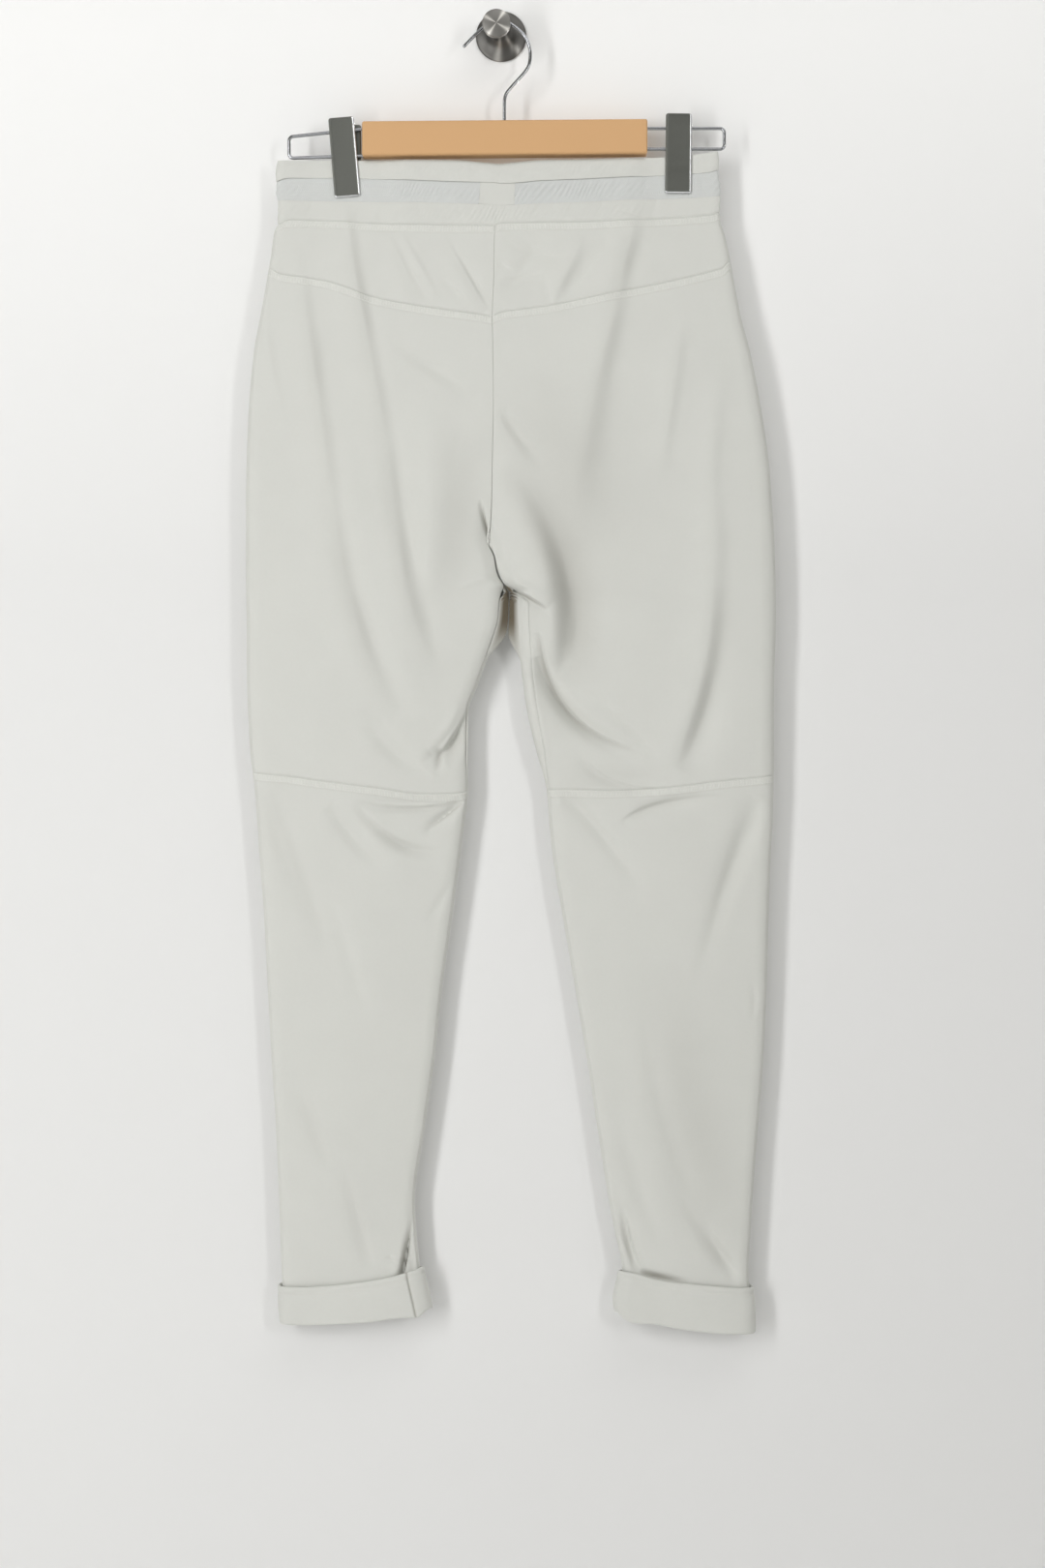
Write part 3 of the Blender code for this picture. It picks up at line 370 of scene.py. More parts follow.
# Fine folds of the back, which only the looks carry. A ridge (+) with a steep right side gives the dark
# band that a long fold shows, and a groove (-) with a sharp upper or right side a dark line.
FINE_FOLDS = folds([
    # Left yoke
    (2.6, 2.4, 10, 0.60, -49.5, 170, -29.5, 205, -11.5, 236),
    (1.8, 3.5, 9.0, 0.50, -94, 170, -80, 200, -62, 234),
    (1.3, 2.6, 7.0, 0.50, -84, 170, -69, 196, -51, 228),
    (-1.1, 1.7, 4.0, 0.50, -47, 209, -38, 219, -28, 230),
    (1.2, 4.0, 9.0, 0.50, -190, 168, -193, 186, -195, 204),
    # Left side
    (1.6, 4.5, 10, 0.45, -202, 200, -194, 262, -174, 345),
    # First long fold of the left thigh, from the yoke to the knee
    (2.6, 6.0, 14, 0.50, -170, 180, -161, 244, -151, 314),
    (3.2, 7.0, 14, 0.50, -160, 244, -151, 314, -140, 390),
    (3.6, 8.0, 15, 0.50, -151, 314, -141, 390, -129, 462),
    (3.8, 8.5, 15, 0.50, -140, 396, -128, 464, -108, 528),
    (3.2, 8.5, 15, 0.50, -128, 464, -112, 518, -88, 568),
    # Second one, from under the clip to the inner knee
    (3.4, 5.5, 13, 0.50, -130, 140, -122, 200, -108, 270),
    (3.2, 6.0, 13, 0.50, -122, 200, -109, 270, -97, 340),
    (3.8, 7.5, 14, 0.50, -108, 272, -96, 340, -86, 410),
    (3.8, 8.0, 14, 0.50, -97, 340, -87, 410, -77, 472),
    (4.2, 8.5, 14, 0.50, -87, 404, -79, 466, -58, 532),
    # Hollow of the left seat beside the crotch
    (5.5, 18, 14, 0.50, -62, 300, -58, 404, -68, 492),
    (-1.8, 8.0, 6.0, 0.50, -93, 256, -62, 281, -16, 312),
    (-1.4, 7.0, 6.0, 0.50, -72, 266, -50, 284, -26, 302),
    (1.2, 6.0, 3.0, 0.50, -36, 466, -18, 458, -1, 460),
    # Left thigh over the knee
    (4.0, 7.0, 2.5, 0.50, -56, 604, -43, 588, -28, 561),
    (-2.6, 3.0, 3.5, 0.35, -49, 597, -51, 606, -52, 620),
    (-1.4, 5.0, 6.0, 0.50, -112, 576, -90, 600, -66, 618),
    # Right yoke and the broad fold below it
    (5.2, 8.5, 16, 0.40, 110, 156, 95, 222, 76, 304),
    (4.6, 12, 18, 0.50, 92, 226, 74, 310, 56, 392),
    (3.0, 16, 20, 0.50, 84, 290, 68, 360, 56, 440),
    (2.4, 5.0, 10, 0.50, 68, 174, 54, 204, 38, 236),
    (-0.9, 2.2, 5.0, 0.50, -2, 193, 3, 199, 11, 203),
    (-1.1, 2.6, 5.5, 0.50, -1, 213, 14, 210, 44, 203),
    (-1.0, 2.6, 6.0, 0.50, 18, 172, 36, 190, 60, 186),
    (-0.6, 2.2, 4.5, 0.50, 4, 176, 15, 183, 30, 184),
    (-1.1, 2.6, 5.0, 0.50, 36, 206, 39.5, 224, 40, 243),
    # Right seat
    (-2.4, 5.0, 4.5, 0.40, 1, 317, 14, 338, 34, 360),
    (2.2, 6.0, 12, 0.50, 149, 236, 141, 306, 128, 390),
    (1.8, 7.0, 12, 0.50, 184, 280, 175, 350, 174, 440),
    # Flap of the right seat over the deep fold
    (6.4, 14, 16, 0.55, -6, 360, 37, 448, 48, 528),
    (-1.5, 10, 4.0, 0.60, 60, 452, 64, 492, 58, 524),
    # Right thigh
    (3.2, 10, 16, 0.50, 178, 380, 174, 455, 167, 528),
    (4.2, 8.5, 15, 0.55, 174, 455, 166, 532, 138, 622),
    (-1.6, 4.5, 7.0, 0.60, 54, 544, 97, 571, 134, 613),
    (-2.0, 1.8, 5.0, 0.50, 66, 604, 94, 626, 132, 630),
    # Left calf
    (2.6, 6.0, 13, 0.40, -200, 624, -176, 684, -148, 772),
    (-2.8, 1.5, 3.5, 0.60, -122, 640, -78, 647, -28, 641),
    (-1.1, 3.0, 6.0, 0.40, -142, 644, -122, 672, -96, 697),
    (-2.4, 2.5, 5.0, 0.50, -120, 642, -96, 668, -64, 680),
    (-1.8, 3.0, 5.0, 0.50, -100, 664, -76, 680, -46, 680),
    (-3.2, 1.2, 4.0, 0.40, -25, 638, -42, 650, -62, 667),
    (-1.2, 4.0, 5.0, 0.50, -64, 742, -48, 722, -36, 700),
    (-1.8, 5.0, 7.0, 0.60, -172, 868, -156, 908, -140, 948),
    (-1.9, 4.5, 7.0, 0.60, -132, 938, -119, 984, -107, 1030),
    (-1.2, 6.0, 8.0, 0.50, -150, 700, -128, 760, -110, 830),
    (-5.0, 0.8, 2.8, 0.70, -69, 968, -75.5, 1003, -82.0, 1036),
    (4.0, 1.2, 6.0, 0.75, -72.5, 975, -78, 1006, -84.5, 1036),
    (-1.2, 1.5, 2.5, 0.50, -95, 1018, -88, 1022, -82, 1026),
    # Right calf
    (-2.4, 1.8, 6.0, 0.40, 100, 660, 130, 644, 190, 636),
    (-2.4, 5.0, 5.0, 0.45, 46, 634, 77, 660, 120, 720),
    (-2.0, 8.0, 6.0, 0.50, 206, 656, 186, 712, 160, 800),
    (-1.5, 3.0, 3.0, 0.50, 207, 792, 211, 806, 208, 822),
    (-2.0, 11, 8.0, 0.50, 118, 800, 139, 912, 180, 1006),
    (-1.5, 8.0, 7.0, 0.50, 96, 880, 114, 960, 144, 1024),
    (-1.8, 6.0, 6.0, 0.60, 128, 926, 166, 996, 202, 1036),
    (-3.0, 1.4, 4.0, 0.60, 101, 975, 107, 1006, 116, 1032),
    (-1.4, 2.5, 5.0, 0.60, 166, 978, 179, 1009, 196, 1033),
    (-2.4, 3.0, 1.5, 0.40, 114.8, 1031, 132, 1035, 156, 1039),
])

# Sharp creases and lips of the back that reach an inner edge.
CRISP_FOLDS = folds([
    # Wedge beside the centre seam
    (-3.8, 1.0, 2.4, 0.50, -17.0, 392, -12.6, 412, -7.4, 431),
    # Lip of the right seat's flap, and the line under it
    (4.6, 8, 0.6, 0.60, -0.4, 456.5, 18, 468.4, 39.0, 482),
    (-2.6, 0.7, 2.4, 0.55, 1.5, 459.5, 19.5, 471.3, 39.2, 484),
    # Left inner thigh
    (-4.5, 1.4, 16.0, 0.45, -50, 602, -38, 588, -24.5, 559),
    # Right thigh
    (-7.5, 1.7, 7.0, 0.40, 31, 502, 57, 568, 118, 600.5),
])

# Painted shade along the deepest creases and over broad hollows of the back, where little light reaches:
# height is how far the painted shade darkens the cloth.
PAINTED_SHADE_LINES = folds([
    (0.50, 0.8, 1.8, 0.60, -17.0, 392, -12.4, 412, -7.6, 430),
    (0.45, 0.5, 0.5, 0.50, -9.4, 424, -4.5, 443, 1.0, 461),
    (0.50, 0.5, 1.0, 0.45, 0, 459.5, 19.5, 471.3, 38.8, 483.8),
    (0.07, 1.0, 14, 0.50, 2, 464, 22, 476, 42, 492),
    (0.36, 0.9, 2.8, 0.35, 31, 502, 57, 568, 118, 600.5),
    (0.20, 1.0, 7.0, 0.45, -49, 603, -38, 589, -25, 561),
    (0.20, 2.4, 2.4, 0.50, -50, 596, -51, 605, -52, 616),
    (0.65, 1.0, 3.4, 0.80, -69, 962, -75.5, 1003, -82, 1038),
    (0.22, 0.8, 1.8, 0.60, -26, 639, -41, 650, -58, 664),
    (0.06, 1.6, 3.0, 0.50, -120, 640, -78, 647, -28, 641),
    (0.22, 20, 14, 0.55, 0, 362, 53, 460, 54, 550),
    (0.10, 36, 36, 0.50, 26, 286, 60, 372, 72, 476),
    (0.05, 7, 12, 0.50, 112, 168, 95, 240, 62, 400),
    (0.05, 8, 12, 0.50, -124, 170, -108, 270, -78, 430),
    (0.06, 9, 13, 0.50, -96, 350, -80, 450, -50, 548),
    (0.05, 8, 12, 0.50, -160, 210, -149, 314, -134, 430),
    (0.06, 9, 13, 0.50, -140, 390, -124, 474, -86, 580),
    (0.05, 12, 14, 0.50, 36, 620, 84, 622, 132, 626),
    (0.06, 2.5, 6.0, 0.50, -120, 642, -96, 668, -64, 680),
    (0.06, 3.0, 5.0, 0.50, -100, 664, -76, 680, -44, 680),
    (0.035, 8.0, 14, 0.40, -200, 630, -172, 694, -140, 790),
    (0.03, 6.0, 10, 0.50, -168, 876, -154, 908, -140, 946),
    (0.04, 6.0, 10, 0.50, -130, 940, -118, 984, -108, 1030),
    (0.08, 16, 15, 0.50, -30, 334, -34, 404, -44, 474),
    (0.09, 26, 26, 0.50, 134, 770, 158, 900, 188, 1034),
    (0.04, 12, 9.0, 0.50, 208, 650, 186, 712, 160, 800),
    (0.07, 6.0, 8.0, 0.60, 184, 440, 176, 532, 146, 622),
    (0.08, 2.0, 4.0, 0.40, 104, 656, 133, 642, 176, 637),
    (0.60, 3.0, 1.2, 0.40, 114.8, 1031.6, 132, 1035.5, 156, 1039.5),
])

# How near an inner edge the sharp creases end.
CRISP_END = 1.2

# Gathers of the waistband and of the yoke under it: middle, how far they lean over their length,
# length, height and spread.
Gather = namedtuple("Gather", "x drop lean length height spread")
GATHERS = [
    Gather(-168, 136, 5, 22, -0.5, 2.6),
    Gather(-158, 150, -4, 24, -0.6, 3.0),
    Gather(-112, 134, 6, 24, -0.7, 2.8),
    Gather(-99, 153, -5, 26, -0.6, 3.4),
    Gather(-86, 136, 3, 18, -0.4, 2.2),
    Gather(-66, 154, 5, 22, -0.5, 3.0),
    Gather(-50, 137, -4, 20, -0.4, 2.6),
    Gather(-33, 155, 6, 20, -0.5, 2.6),
    Gather(-24, 120, 2, 14, -0.4, 2.0),
    Gather(22, 137, -6, 24, -0.6, 2.6),
    Gather(30, 154, -8, 22, -0.7, 3.0),
    Gather(44, 134, -7, 26, -0.7, 2.8),
    Gather(57, 152, -8, 24, -0.7, 3.0),
    Gather(69, 133, -6, 24, -0.8, 2.6),
    Gather(83, 151, -9, 26, -0.8, 3.0),
    Gather(95, 133, -7, 26, -0.9, 2.8),
    Gather(106, 149, -9, 26, -0.9, 3.0),
    Gather(119, 131, -8, 24, -0.9, 2.6),
    Gather(128, 147, -7, 24, -0.8, 2.6),
    Gather(166, 128, 6, 24, -0.7, 2.6),
    Gather(172, 145, 5, 22, -0.6, 2.6),
]

# Share of the gathers' height that stays beside the finer waves of the bands.
GATHER_SHARE = 0.4

# Folds of the hidden front, shaped like those of the back.
FRONT_FOLDS = folds([
    (-3.0, 11, 13, 0.50, -140, 200, -112, 360, -66, 520),
    (-3.0, 12, 10, 0.50, 138, 200, 110, 350, 70, 510),
    (-3.0, 8, 12, 0.50, -110, 600, -76, 632, -40, 640),
    (-3.0, 8, 12, 0.50, 160, 640, 110, 622, 60, 606),
    (-2.4, 12, 10, 0.50, -170, 660, -140, 760, -120, 880),
    (-2.4, 10, 12, 0.50, 190, 670, 160, 770, 150, 880),
    (-0.9, 2.5, 4.0, 0.50, -60, 172, -44, 204, -26, 240),
    (-0.9, 2.5, 4.0, 0.50, 62, 172, 46, 206, 24, 244),
    (-1.2, 2.0, 5.0, 0.50, -86, 596, -60, 618, -34, 626),
    (-1.2, 2.0, 5.0, 0.50, 130, 612, 92, 608, 52, 594),
    (-1.4, 3.0, 5.0, 0.60, -110, 984, -100, 1012, -92, 1040),
    (-1.4, 3.0, 5.0, 0.60, 140, 984, 150, 1012, 160, 1042),
])

# Every third row and column of a panel's outer grid is kept in its inner one.
INNER_STEP = 3

# Edges that turn by more than this stay sharp.
SHARP_ANGLE = math.radians(62)

# The coverstitched band under a seam: where it starts and ends, and how soft its two shoulders are.
BAND_START, BAND_END = 0.9, 6.2
BAND_SOFT_START, BAND_SOFT_END = 0.5, 0.8

# How far painted shade darkens a panel at its upper seam and at the foot of its band, how far that reaches,
# and the share of it that its lower seam has.
SEAM_SHADE, BAND_SHADE = 0.06, 0.035
SEAM_SHADE_REACH = 0.6
LOWER_SEAM_SHARE = 0.6

# How far each row of the front follows an eased curve, not a straight one, from the inner edge to the
# outseam: at the waist, the yoke's height, the knee and the leg's end.
FRONT_EASE = (0.0, 1.0, 0.0, 0.0)

# Front cloth that hangs between the legs under the crotch: the turns it spans on each side of the inner
# edge, where it starts and begins to fade and over what lengths, how steeply the painted shade of the
# hollow between the legs darkens it from its edge, and where that painted shade begins to fade and over what
# length.
WEB_TURN = 0.034
WEB_START, WEB_START_LENGTH = 458.0, 4.0
WEB_FADE, WEB_FADE_LENGTH = 498.0, 28.0
WEB_PAINTED_SHADE_RISE = 5.0
PAINTED_SHADE_FADE, PAINTED_SHADE_FADE_LENGTH = 490.0, 38.0

# Grid of the waistband, and columns of its plain back piece on each side of the centre seam, with the
# shared one counted twice.
BAND_FRONT_COLUMNS, BAND_BACK_COLUMNS = 100, 249
BAND_ROWS = 22
BACK_PIECE_COLUMNS = {"left": 13, "right": 15}

# Bands of the waistband: the seams above and below, how far it rolls out, how proud its lower edge is,
# its dips at the two seams, the height of its gathers, and its slot. The lower edge rises over a share
# of the band's height.
Band = namedtuple("Band", "name level next_level roll lower_edge upper_dip lower_dip ripple slot")
BANDS = [
    Band("waist_top", "top", "fold", 0.9, 0.42, 0.0, 0.0, 0.12, "jersey"),
    Band("waist_rib", "fold", "rib", 0.35, 0.0, 0.35, 0.12, 0.46, "rib"),
    Band("waist_low", "rib", "waist", 0.45, 0.0, 0.1, 0.5, 0.24, "jersey"),
]
LOWER_EDGE_RISE = 0.7

# Fine slanting gathers of the waistband: pitch, how far they lean for each mm of drop, how far their
# phase wanders and over what length, and how unevenly they swell and over what length.
RIPPLE_PITCH, RIPPLE_LEAN = 4.4, 0.6
RIPPLE_WANDER, RIPPLE_DRIFT = 0.8, 11.0
RIPPLE_UNEVEN, RIPPLE_SWELL = 0.28, 23.0

# Painted shadow of the bar on the top edge of the waistband, how far down it reaches, and how soft its ends
# are.
BAR_SHADE, BAR_SHADE_REACH, BAR_SHADE_SOFT = 0.45, 1.5, 4.0

# Columns round a cuff, how much closer they lie at the edges, and half the turn over which its heading
# is measured.
CUFF_COLUMNS = 288
CUFF_CROWDING = 0.5
LOOK_AHEAD = 0.002

# Section of a cuff. Its top roll is given by distance out and below the top, its outside by the first
# and last share of the height and their count, its foot by a radius and angles in degrees, its turn in
# by distance out and above the bottom, and its inside by shares of the height.
CUFF_TOP_ROLL = ((CUFF_STAND_OFF + 0.5, 0.0), (CUFF_STAND_OFF + 1.2, -0.35),
                 (CUFF_STAND_OFF + CUFF_WALL - 0.4, 0.1))
CUFF_OUTSIDE = (0.05, 0.93, 23)
CUFF_ROUND, CUFF_ROUND_ANGLES = 1.2, (25, 50, 75, 100)
CUFF_TURN_IN = ((0.6, 0.0), (-0.8, 0.05), (-1.4, 0.6), (-1.4, CUFF_WALL), (CUFF_STAND_OFF - 0.3, CUFF_WALL))
CUFF_INSIDE = (0.8, 0.6, 0.4, 0.2)

# A cuff's bulge, its waves (height, count in each turn of 1, phase) and their share, and its level
# crease: depth, distance below the top and width.
CUFF_BULGE, CUFF_WAVE_SHARE = 0.5, 0.4
CUFF_WAVES = ((0.35, 2.5, 1.0), (0.25, 5.5, 0.0))
CUFF_CREASE_DEPTH, CUFF_CREASE_BELOW, CUFF_CREASE_WIDTH = 0.7, 5.6, 1.3

# Turn of the seam that shows on a cuff, its depth and width, and how far painted shade darkens it.
CUFF_SEAMS = {"left": 0.862, "right": 1.04}
CUFF_SEAM_DEPTH, CUFF_SEAM_WIDTH, CUFF_SEAM_SHADE = 0.9, 0.006, 0.5

# Stitches: how far below a seam the two rows lie, the samples along a row, how far down the surface is
# read for its normal, how far the thread stands off, its sides, how deep its tips sink as a share of its
# radius, and where its shoulders lie as a share of its half length.
STITCH_ROWS = (1.5, 5.6)
STITCH_SAMPLES = 900
STITCH_LOOK_DOWN, STITCH_LIFT = 0.6, 0.05
STITCH_SIDES = 5
STITCH_SINK, STITCH_SHOULDER = 0.8, 0.55

# How far short of a back panel's two side seams its stitches end, and the turns that the front's span.
BACK_STITCH_GAPS = (0.002, 0.003)
FRONT_STITCH_TURNS = (1.004, 1.99)

# Warm brown of the painted shade in the deepest creases, along seams, under the bar and between the legs.
# Then the pitch and height of the ticks on a coverstitched band, and how much paler the band is between them.
PAINTED_SHADE_COLOUR = (0.13, 0.108, 0.075, 1.0)
TICK_PITCH, TICK_HEIGHT = 2.3, 3.0
BAND_PALENESS = 0.35

# Knits: the panel's colour, wales and courses (half waves to the metre), and the loops' height in metres.
Knit = namedtuple("Knit", "colour wales courses depth")
KNITS = {
    "jersey_cloth": Knit("jersey", 1400.0, 1900.0, 0.00012),
    "rib_cloth": Knit("rib", 620.0, 1700.0, 0.0003),
}

# Metals: the panel's colour, roughness, how the noise of the scratches is stretched, and how far wear
# varies the roughness.
Metal = namedtuple("Metal", "colour roughness stretch wear")
METALS = {
    "bright_wire": Metal("wire", 0.16, (1.0, 1.0, 1.0), 0.08),
    # The rims' brighter metal goes only on each clip's lit right side and foot, as a painted highlight.
    "rolled_edge": Metal("edge", 0.28, (1.0, 1.0, 1.0), 0.04),
    "clip_plate": Metal("clip", 0.4, (1.0, 1.0, 6.0), 0.1),
}

# Contrast of the wood's grain, and the noise above which a fleck shows.
GRAIN_CONTRAST, FLECKS_FROM = 3.4, 0.57

# Painted light on the wall: height at which its paint reaches its deeper tone, and over what height above it
# the painted light brightens it.
WALL_PAINTED_LIGHT_END, WALL_PAINTED_LIGHT_LENGTH = -0.45, 0.45

# Flat size of each cut piece in metres, and its flat area where it isn't a rectangle.
Cut = namedtuple("Cut", "width length area")

# Lights, in metres: the panel's power, size, place, and the point each one faces.
MIDDLE = (0.0, 0.0, -0.62)
Light = namedtuple("Light", "name power size place aim")
LIGHTS = [
    Light("left_strip", "key_power", (0.3, 2.0), (-1.36, -1.7, -0.4), MIDDLE),
    Light("soft_left", "soft_power", (1.5, 1.5), (-0.95, -2.2, -0.2), MIDDLE),
    Light("right_strip", "second_power", (0.27, 0.9), (1.3, -2.1, -0.1), MIDDLE),
    Light("top_light", "top_power", (2.2, 1.0), (0.6, -1.0, 1.1), (0.2, 0.0, -0.1)),
    Light("back_light", "back_power", (0.6, 2.0), (1.1, 1.4, -0.2), MIDDLE),
]

# Stage, in metres: the wall's plane and top, and how far wall and floor reach. Camera's film width in mm.
WALL_Y, WALL_TOP = 0.0006, 2.4
STAGE_REACH = 4.0
FILM_WIDTH = 36.0

# How finely a fold's curve is sampled, and how many times its spread it is felt.
FOLD_SAMPLES = 24
FOLD_REACH = 2.8

# Steps of Newton's method towards a curve's nearest point, and the least share of the usual rate it takes.
NEARING_STEPS, LEAST_RATE = 3, 0.3

# Where the clips press the waistband flat: centre and half width. Then the half thickness that is left,
# how far the press is felt beside a clip, and where it begins to fade below and over what length.
PRESSES = ((-127.0, 25.0), (147.0, 17.0))
PRESS_HALF_DEPTH = 1.55
PRESS_SPREAD = 26.0
PRESS_END_DROP, PRESS_FADE = 142.0, 52.0

# Steps in which a seam's turn and drop settle, and a turn is found by halving.
SETTLING_STEPS, HALVING_STEPS = 3, 40

# Steps into which a grid's closeness is summed, and a length too small to divide by.
CLOSENESS_STEPS = 4001
TINY_LENGTH = 1e-9


def read(source, name, at):
    """Value of a column where the first column is `at`: a smooth curve that never overshoots.

    Between two rows it is a cubic whose slopes are the harmonic means of the neighbouring rises.
    """
    known = source.rows[:, 0]
    value = source.rows[:, source.columns.index(name)]
    at = np.clip(np.asarray(at, float), known[0], known[-1])
    step = np.diff(known)
    rise = np.diff(value) / step
    slope = np.zeros(len(known))
    slope[0], slope[-1] = rise[0], rise[-1]
    both = rise[:-1] * rise[1:]
    same_way = both > 0
    slope[1:-1][same_way] = 2 * both[same_way] / (rise[:-1] + rise[1:])[same_way]
    row = np.clip(np.searchsorted(known, at, side="right") - 1, 0, len(known) - 2)
    share = (at - known[row]) / step[row]
    square = share * share
    cube = square * share
    start = (2 * cube - 3 * square + 1) * value[row] + (cube - 2 * square + share) * step[row] * slope[row]
    end = (3 * square - 2 * cube) * value[row + 1] + (cube - square) * step[row] * slope[row + 1]
    return start + end


def ramp(value):
    """0 below 0, 1 above 1, and a smooth rise between."""
    value = np.clip(value, 0.0, 1.0)
    return value * value * (3 - 2 * value)


def bell(value):
    """1 at 0, falling smoothly to nothing on both sides."""
    return np.exp(-np.square(value))


def gather_fold(gather):
    """The fold that a row of the gathers' table stands for, strongest at its middle."""
    lean, half_length = gather.lean / 2, gather.length / 2
    return Fold(GATHER_SHARE * gather.height, gather.spread, gather.spread, 0.5,
                gather.x - lean, gather.drop - half_length, gather.x, gather.drop,
                gather.x + lean, gather.drop + half_length)


BACK_FOLDS = LARGE_FOLDS + FINE_FOLDS + [gather_fold(gather) for gather in GATHERS]


def fold_height(fold_rows, x, drop):
    """Sum of the folds at each point: an uneven bell across each curve, faded at its two ends.

    The nearest point of each curve is its nearest sample, brought closer by Newton's method. Points
    too far from a curve to feel it are left out.
    """
    total = np.zeros(x.shape)
    samples = np.linspace(0, 1, FOLD_SAMPLES)[:, None]
    for fold in fold_rows:
        start = np.array([fold.x0, fold.drop0])
        end = np.array([fold.x2, fold.drop2])
        pull = 2 * np.array([fold.x1, fold.drop1]) - 0.5 * (start + end)
        bend = 2 * (start - 2 * pull + end)
        line = (1 - samples) ** 2 * start + 2 * samples * (1 - samples) * pull + samples ** 2 * end
        reach = FOLD_REACH * max(fold.over, fold.under)
        low, high = line.min(axis=0) - reach, line.max(axis=0) + reach
        near = (x > low[0]) & (x < high[0]) & (drop > low[1]) & (drop < high[1])
        if not near.any():
            continue
        here = np.stack([x[near], drop[near]], axis=-1)
        along = samples[np.argmin(((here[:, None, :] - line) ** 2).sum(-1), axis=-1)]
        for _ in range(NEARING_STEPS):
            point = (1 - along) ** 2 * start + 2 * along * (1 - along) * pull + along ** 2 * end
            run = 2 * (1 - along) * (pull - start) + 2 * along * (end - pull)
            square = (run ** 2).sum(-1, keepdims=True)
            lean = ((point - here) * run).sum(-1, keepdims=True)
            rate = np.maximum(square + ((point - here) * bend).sum(-1, keepdims=True), LEAST_RATE * square)
            along = np.clip(along - lean / rate, 0, 1)
        away = here - point
        unit = run / np.sqrt(square)
        beside = unit[:, 1] * away[:, 0] - unit[:, 0] * away[:, 1]
        spread = np.where(beside > 0, fold.over, fold.under)
        strength = np.sin(math.pi * along[:, 0] ** (math.log(0.5) / math.log(fold.peak)))
        total[near] += fold.height * bell(beside / spread) * strength
    return total


def beside_clip(x, press):
    """0 between a clip's jaws and 1 away from them."""
    centre, half_width = press
    return ramp((np.abs(x - centre) - half_width) / PRESS_SPREAD)


def pressed(depth, x, drop):
    """The depth left where a clip presses the waistband."""
    below = 1 - ramp((drop - PRESS_END_DROP) / PRESS_FADE)
    for press in PRESSES:
        share = (1 - beside_clip(x, press)) * below
        depth = depth * (1 - share) + np.minimum(depth, PRESS_HALF_DEPTH) * share
    return depth


def calm_at_clips(x):
    """1 away from both clips and 0 between their jaws."""
    return beside_clip(x, PRESSES[0]) * beside_clip(x, PRESSES[1])


def edges(half, drop):
    """x of the side edge and of the inner edge of a half."""
    lean = sum(shift * bell((drop - middle) / reach) for shift, middle, reach in CENTRE_LEANS)
    draw = lean + CENTRE_CLOSE * (1 - read(CLOSING, "closure", drop)) * (1 if half == "left" else -1)
    return read(OUTLINE, f"{half}_side", drop), read(OUTLINE, f"{half}_inner", drop) + draw


def way_round(turn):
    """Turn counted from 0 to 2, and the share of the way from the side edge to the inner edge."""
    loop = np.mod(turn, 2.0)
    return loop, np.where(loop < 1, loop, 2 - loop)


def face(half, turn, drop, folded=True):
    """Point on the outer face of the cloth, as an array of x, y, z in millimetres.

    Across the half, x goes from the side edge to the inner edge with a quarter of an ellipse at each,
    and the cloth stands off the middle plane by the depth table times a low crown. Folds add to that.
    """
    turn, drop = np.broadcast_arrays(np.asarray(turn, float), np.asarray(drop, float))
    loop, way = way_round(turn)
    back = loop < 1
    side, inner = edges(half, drop)
    width = np.abs(inner - side)
    edge = read(DEPTHS, "edge", drop)

    def rounded(near):
        return edge * (1 - np.cos(np.clip(near / EDGE_SHARE, 0, 1) * math.pi / 2))

    near_side, near_inner = rounded(way), rounded(1 - way)
    middle = (width - 2 * edge) * np.clip((way - EDGE_SHARE) / (1 - 2 * EDGE_SHARE), 0, 1)
    from_side = near_side + middle + (edge - near_inner)
    share = from_side / width
    x = side + (inner - side) * share
    closure = read(CLOSING, "closure", drop)
    leg = ramp((drop - LEGS_START_DROP) / LEGS_CHANGE)
    crown = (1 - leg) * np.sin(math.pi / 2 * share) + leg * np.sin(math.pi * share)
    round_side = np.sqrt(1 - (1 - near_side / edge) ** 2)
    round_inner = np.sqrt(np.maximum(1 - closure * (1 - near_inner / edge) ** 2, 0))
    depth = read(DEPTHS, "depth", drop) * (EDGE_DEPTH + (1 - EDGE_DEPTH) * crown)
    depth = pressed(depth, x, drop)
    fold = np.zeros(x.shape)
    if folded:
        from_inner = width - from_side
        fold[back] = fold_height(BACK_FOLDS, x[back], drop[back])
        fold[~back] = fold_height(FRONT_FOLDS, x[~back], drop[~back])
        fold *= ramp(from_side / (CALM_REACH * edge)) * (1 - closure * (1 - ramp(from_inner / edge)))
        fold[back] += fold_height(CRISP_FOLDS, x[back], drop[back]) * ramp(from_inner[back] / CRISP_END)
    y = read(DEPTHS, "middle", drop) + np.where(back, -1.0, 1.0) * (depth * round_side * round_inner + fold)
    return np.stack([x, y, -drop], axis=-1)


def seam_drop(half, level, turn):
    """Drop of a waist seam at a turn, round the back and the front."""
    loop, way = way_round(turn)
    side = read(WAIST[half], level, 0.0)
    on_front = side + (FRONT_CENTRE[level] - side) * way
    return np.where(loop < 1, read(WAIST[half], level, way), on_front)


def leg_drop(half, level, turn):
    """Drop of a cuff edge at a turn. From the inseam round the front it slopes evenly to the outseam."""
    source = LEG[half]
    loop = np.mod(turn - OUTSEAM_TURN, 2.0) + OUTSEAM_TURN
    at_inseam, at_outseam = read(source, level, INSEAM_TURN), read(source, level, OUTSEAM_TURN)
    share = (loop - INSEAM_TURN) / (2 + OUTSEAM_TURN - INSEAM_TURN)
    on_front = at_inseam + (at_outseam - at_inseam) * share
    return np.where(loop < INSEAM_TURN, read(source, level, loop), on_front)


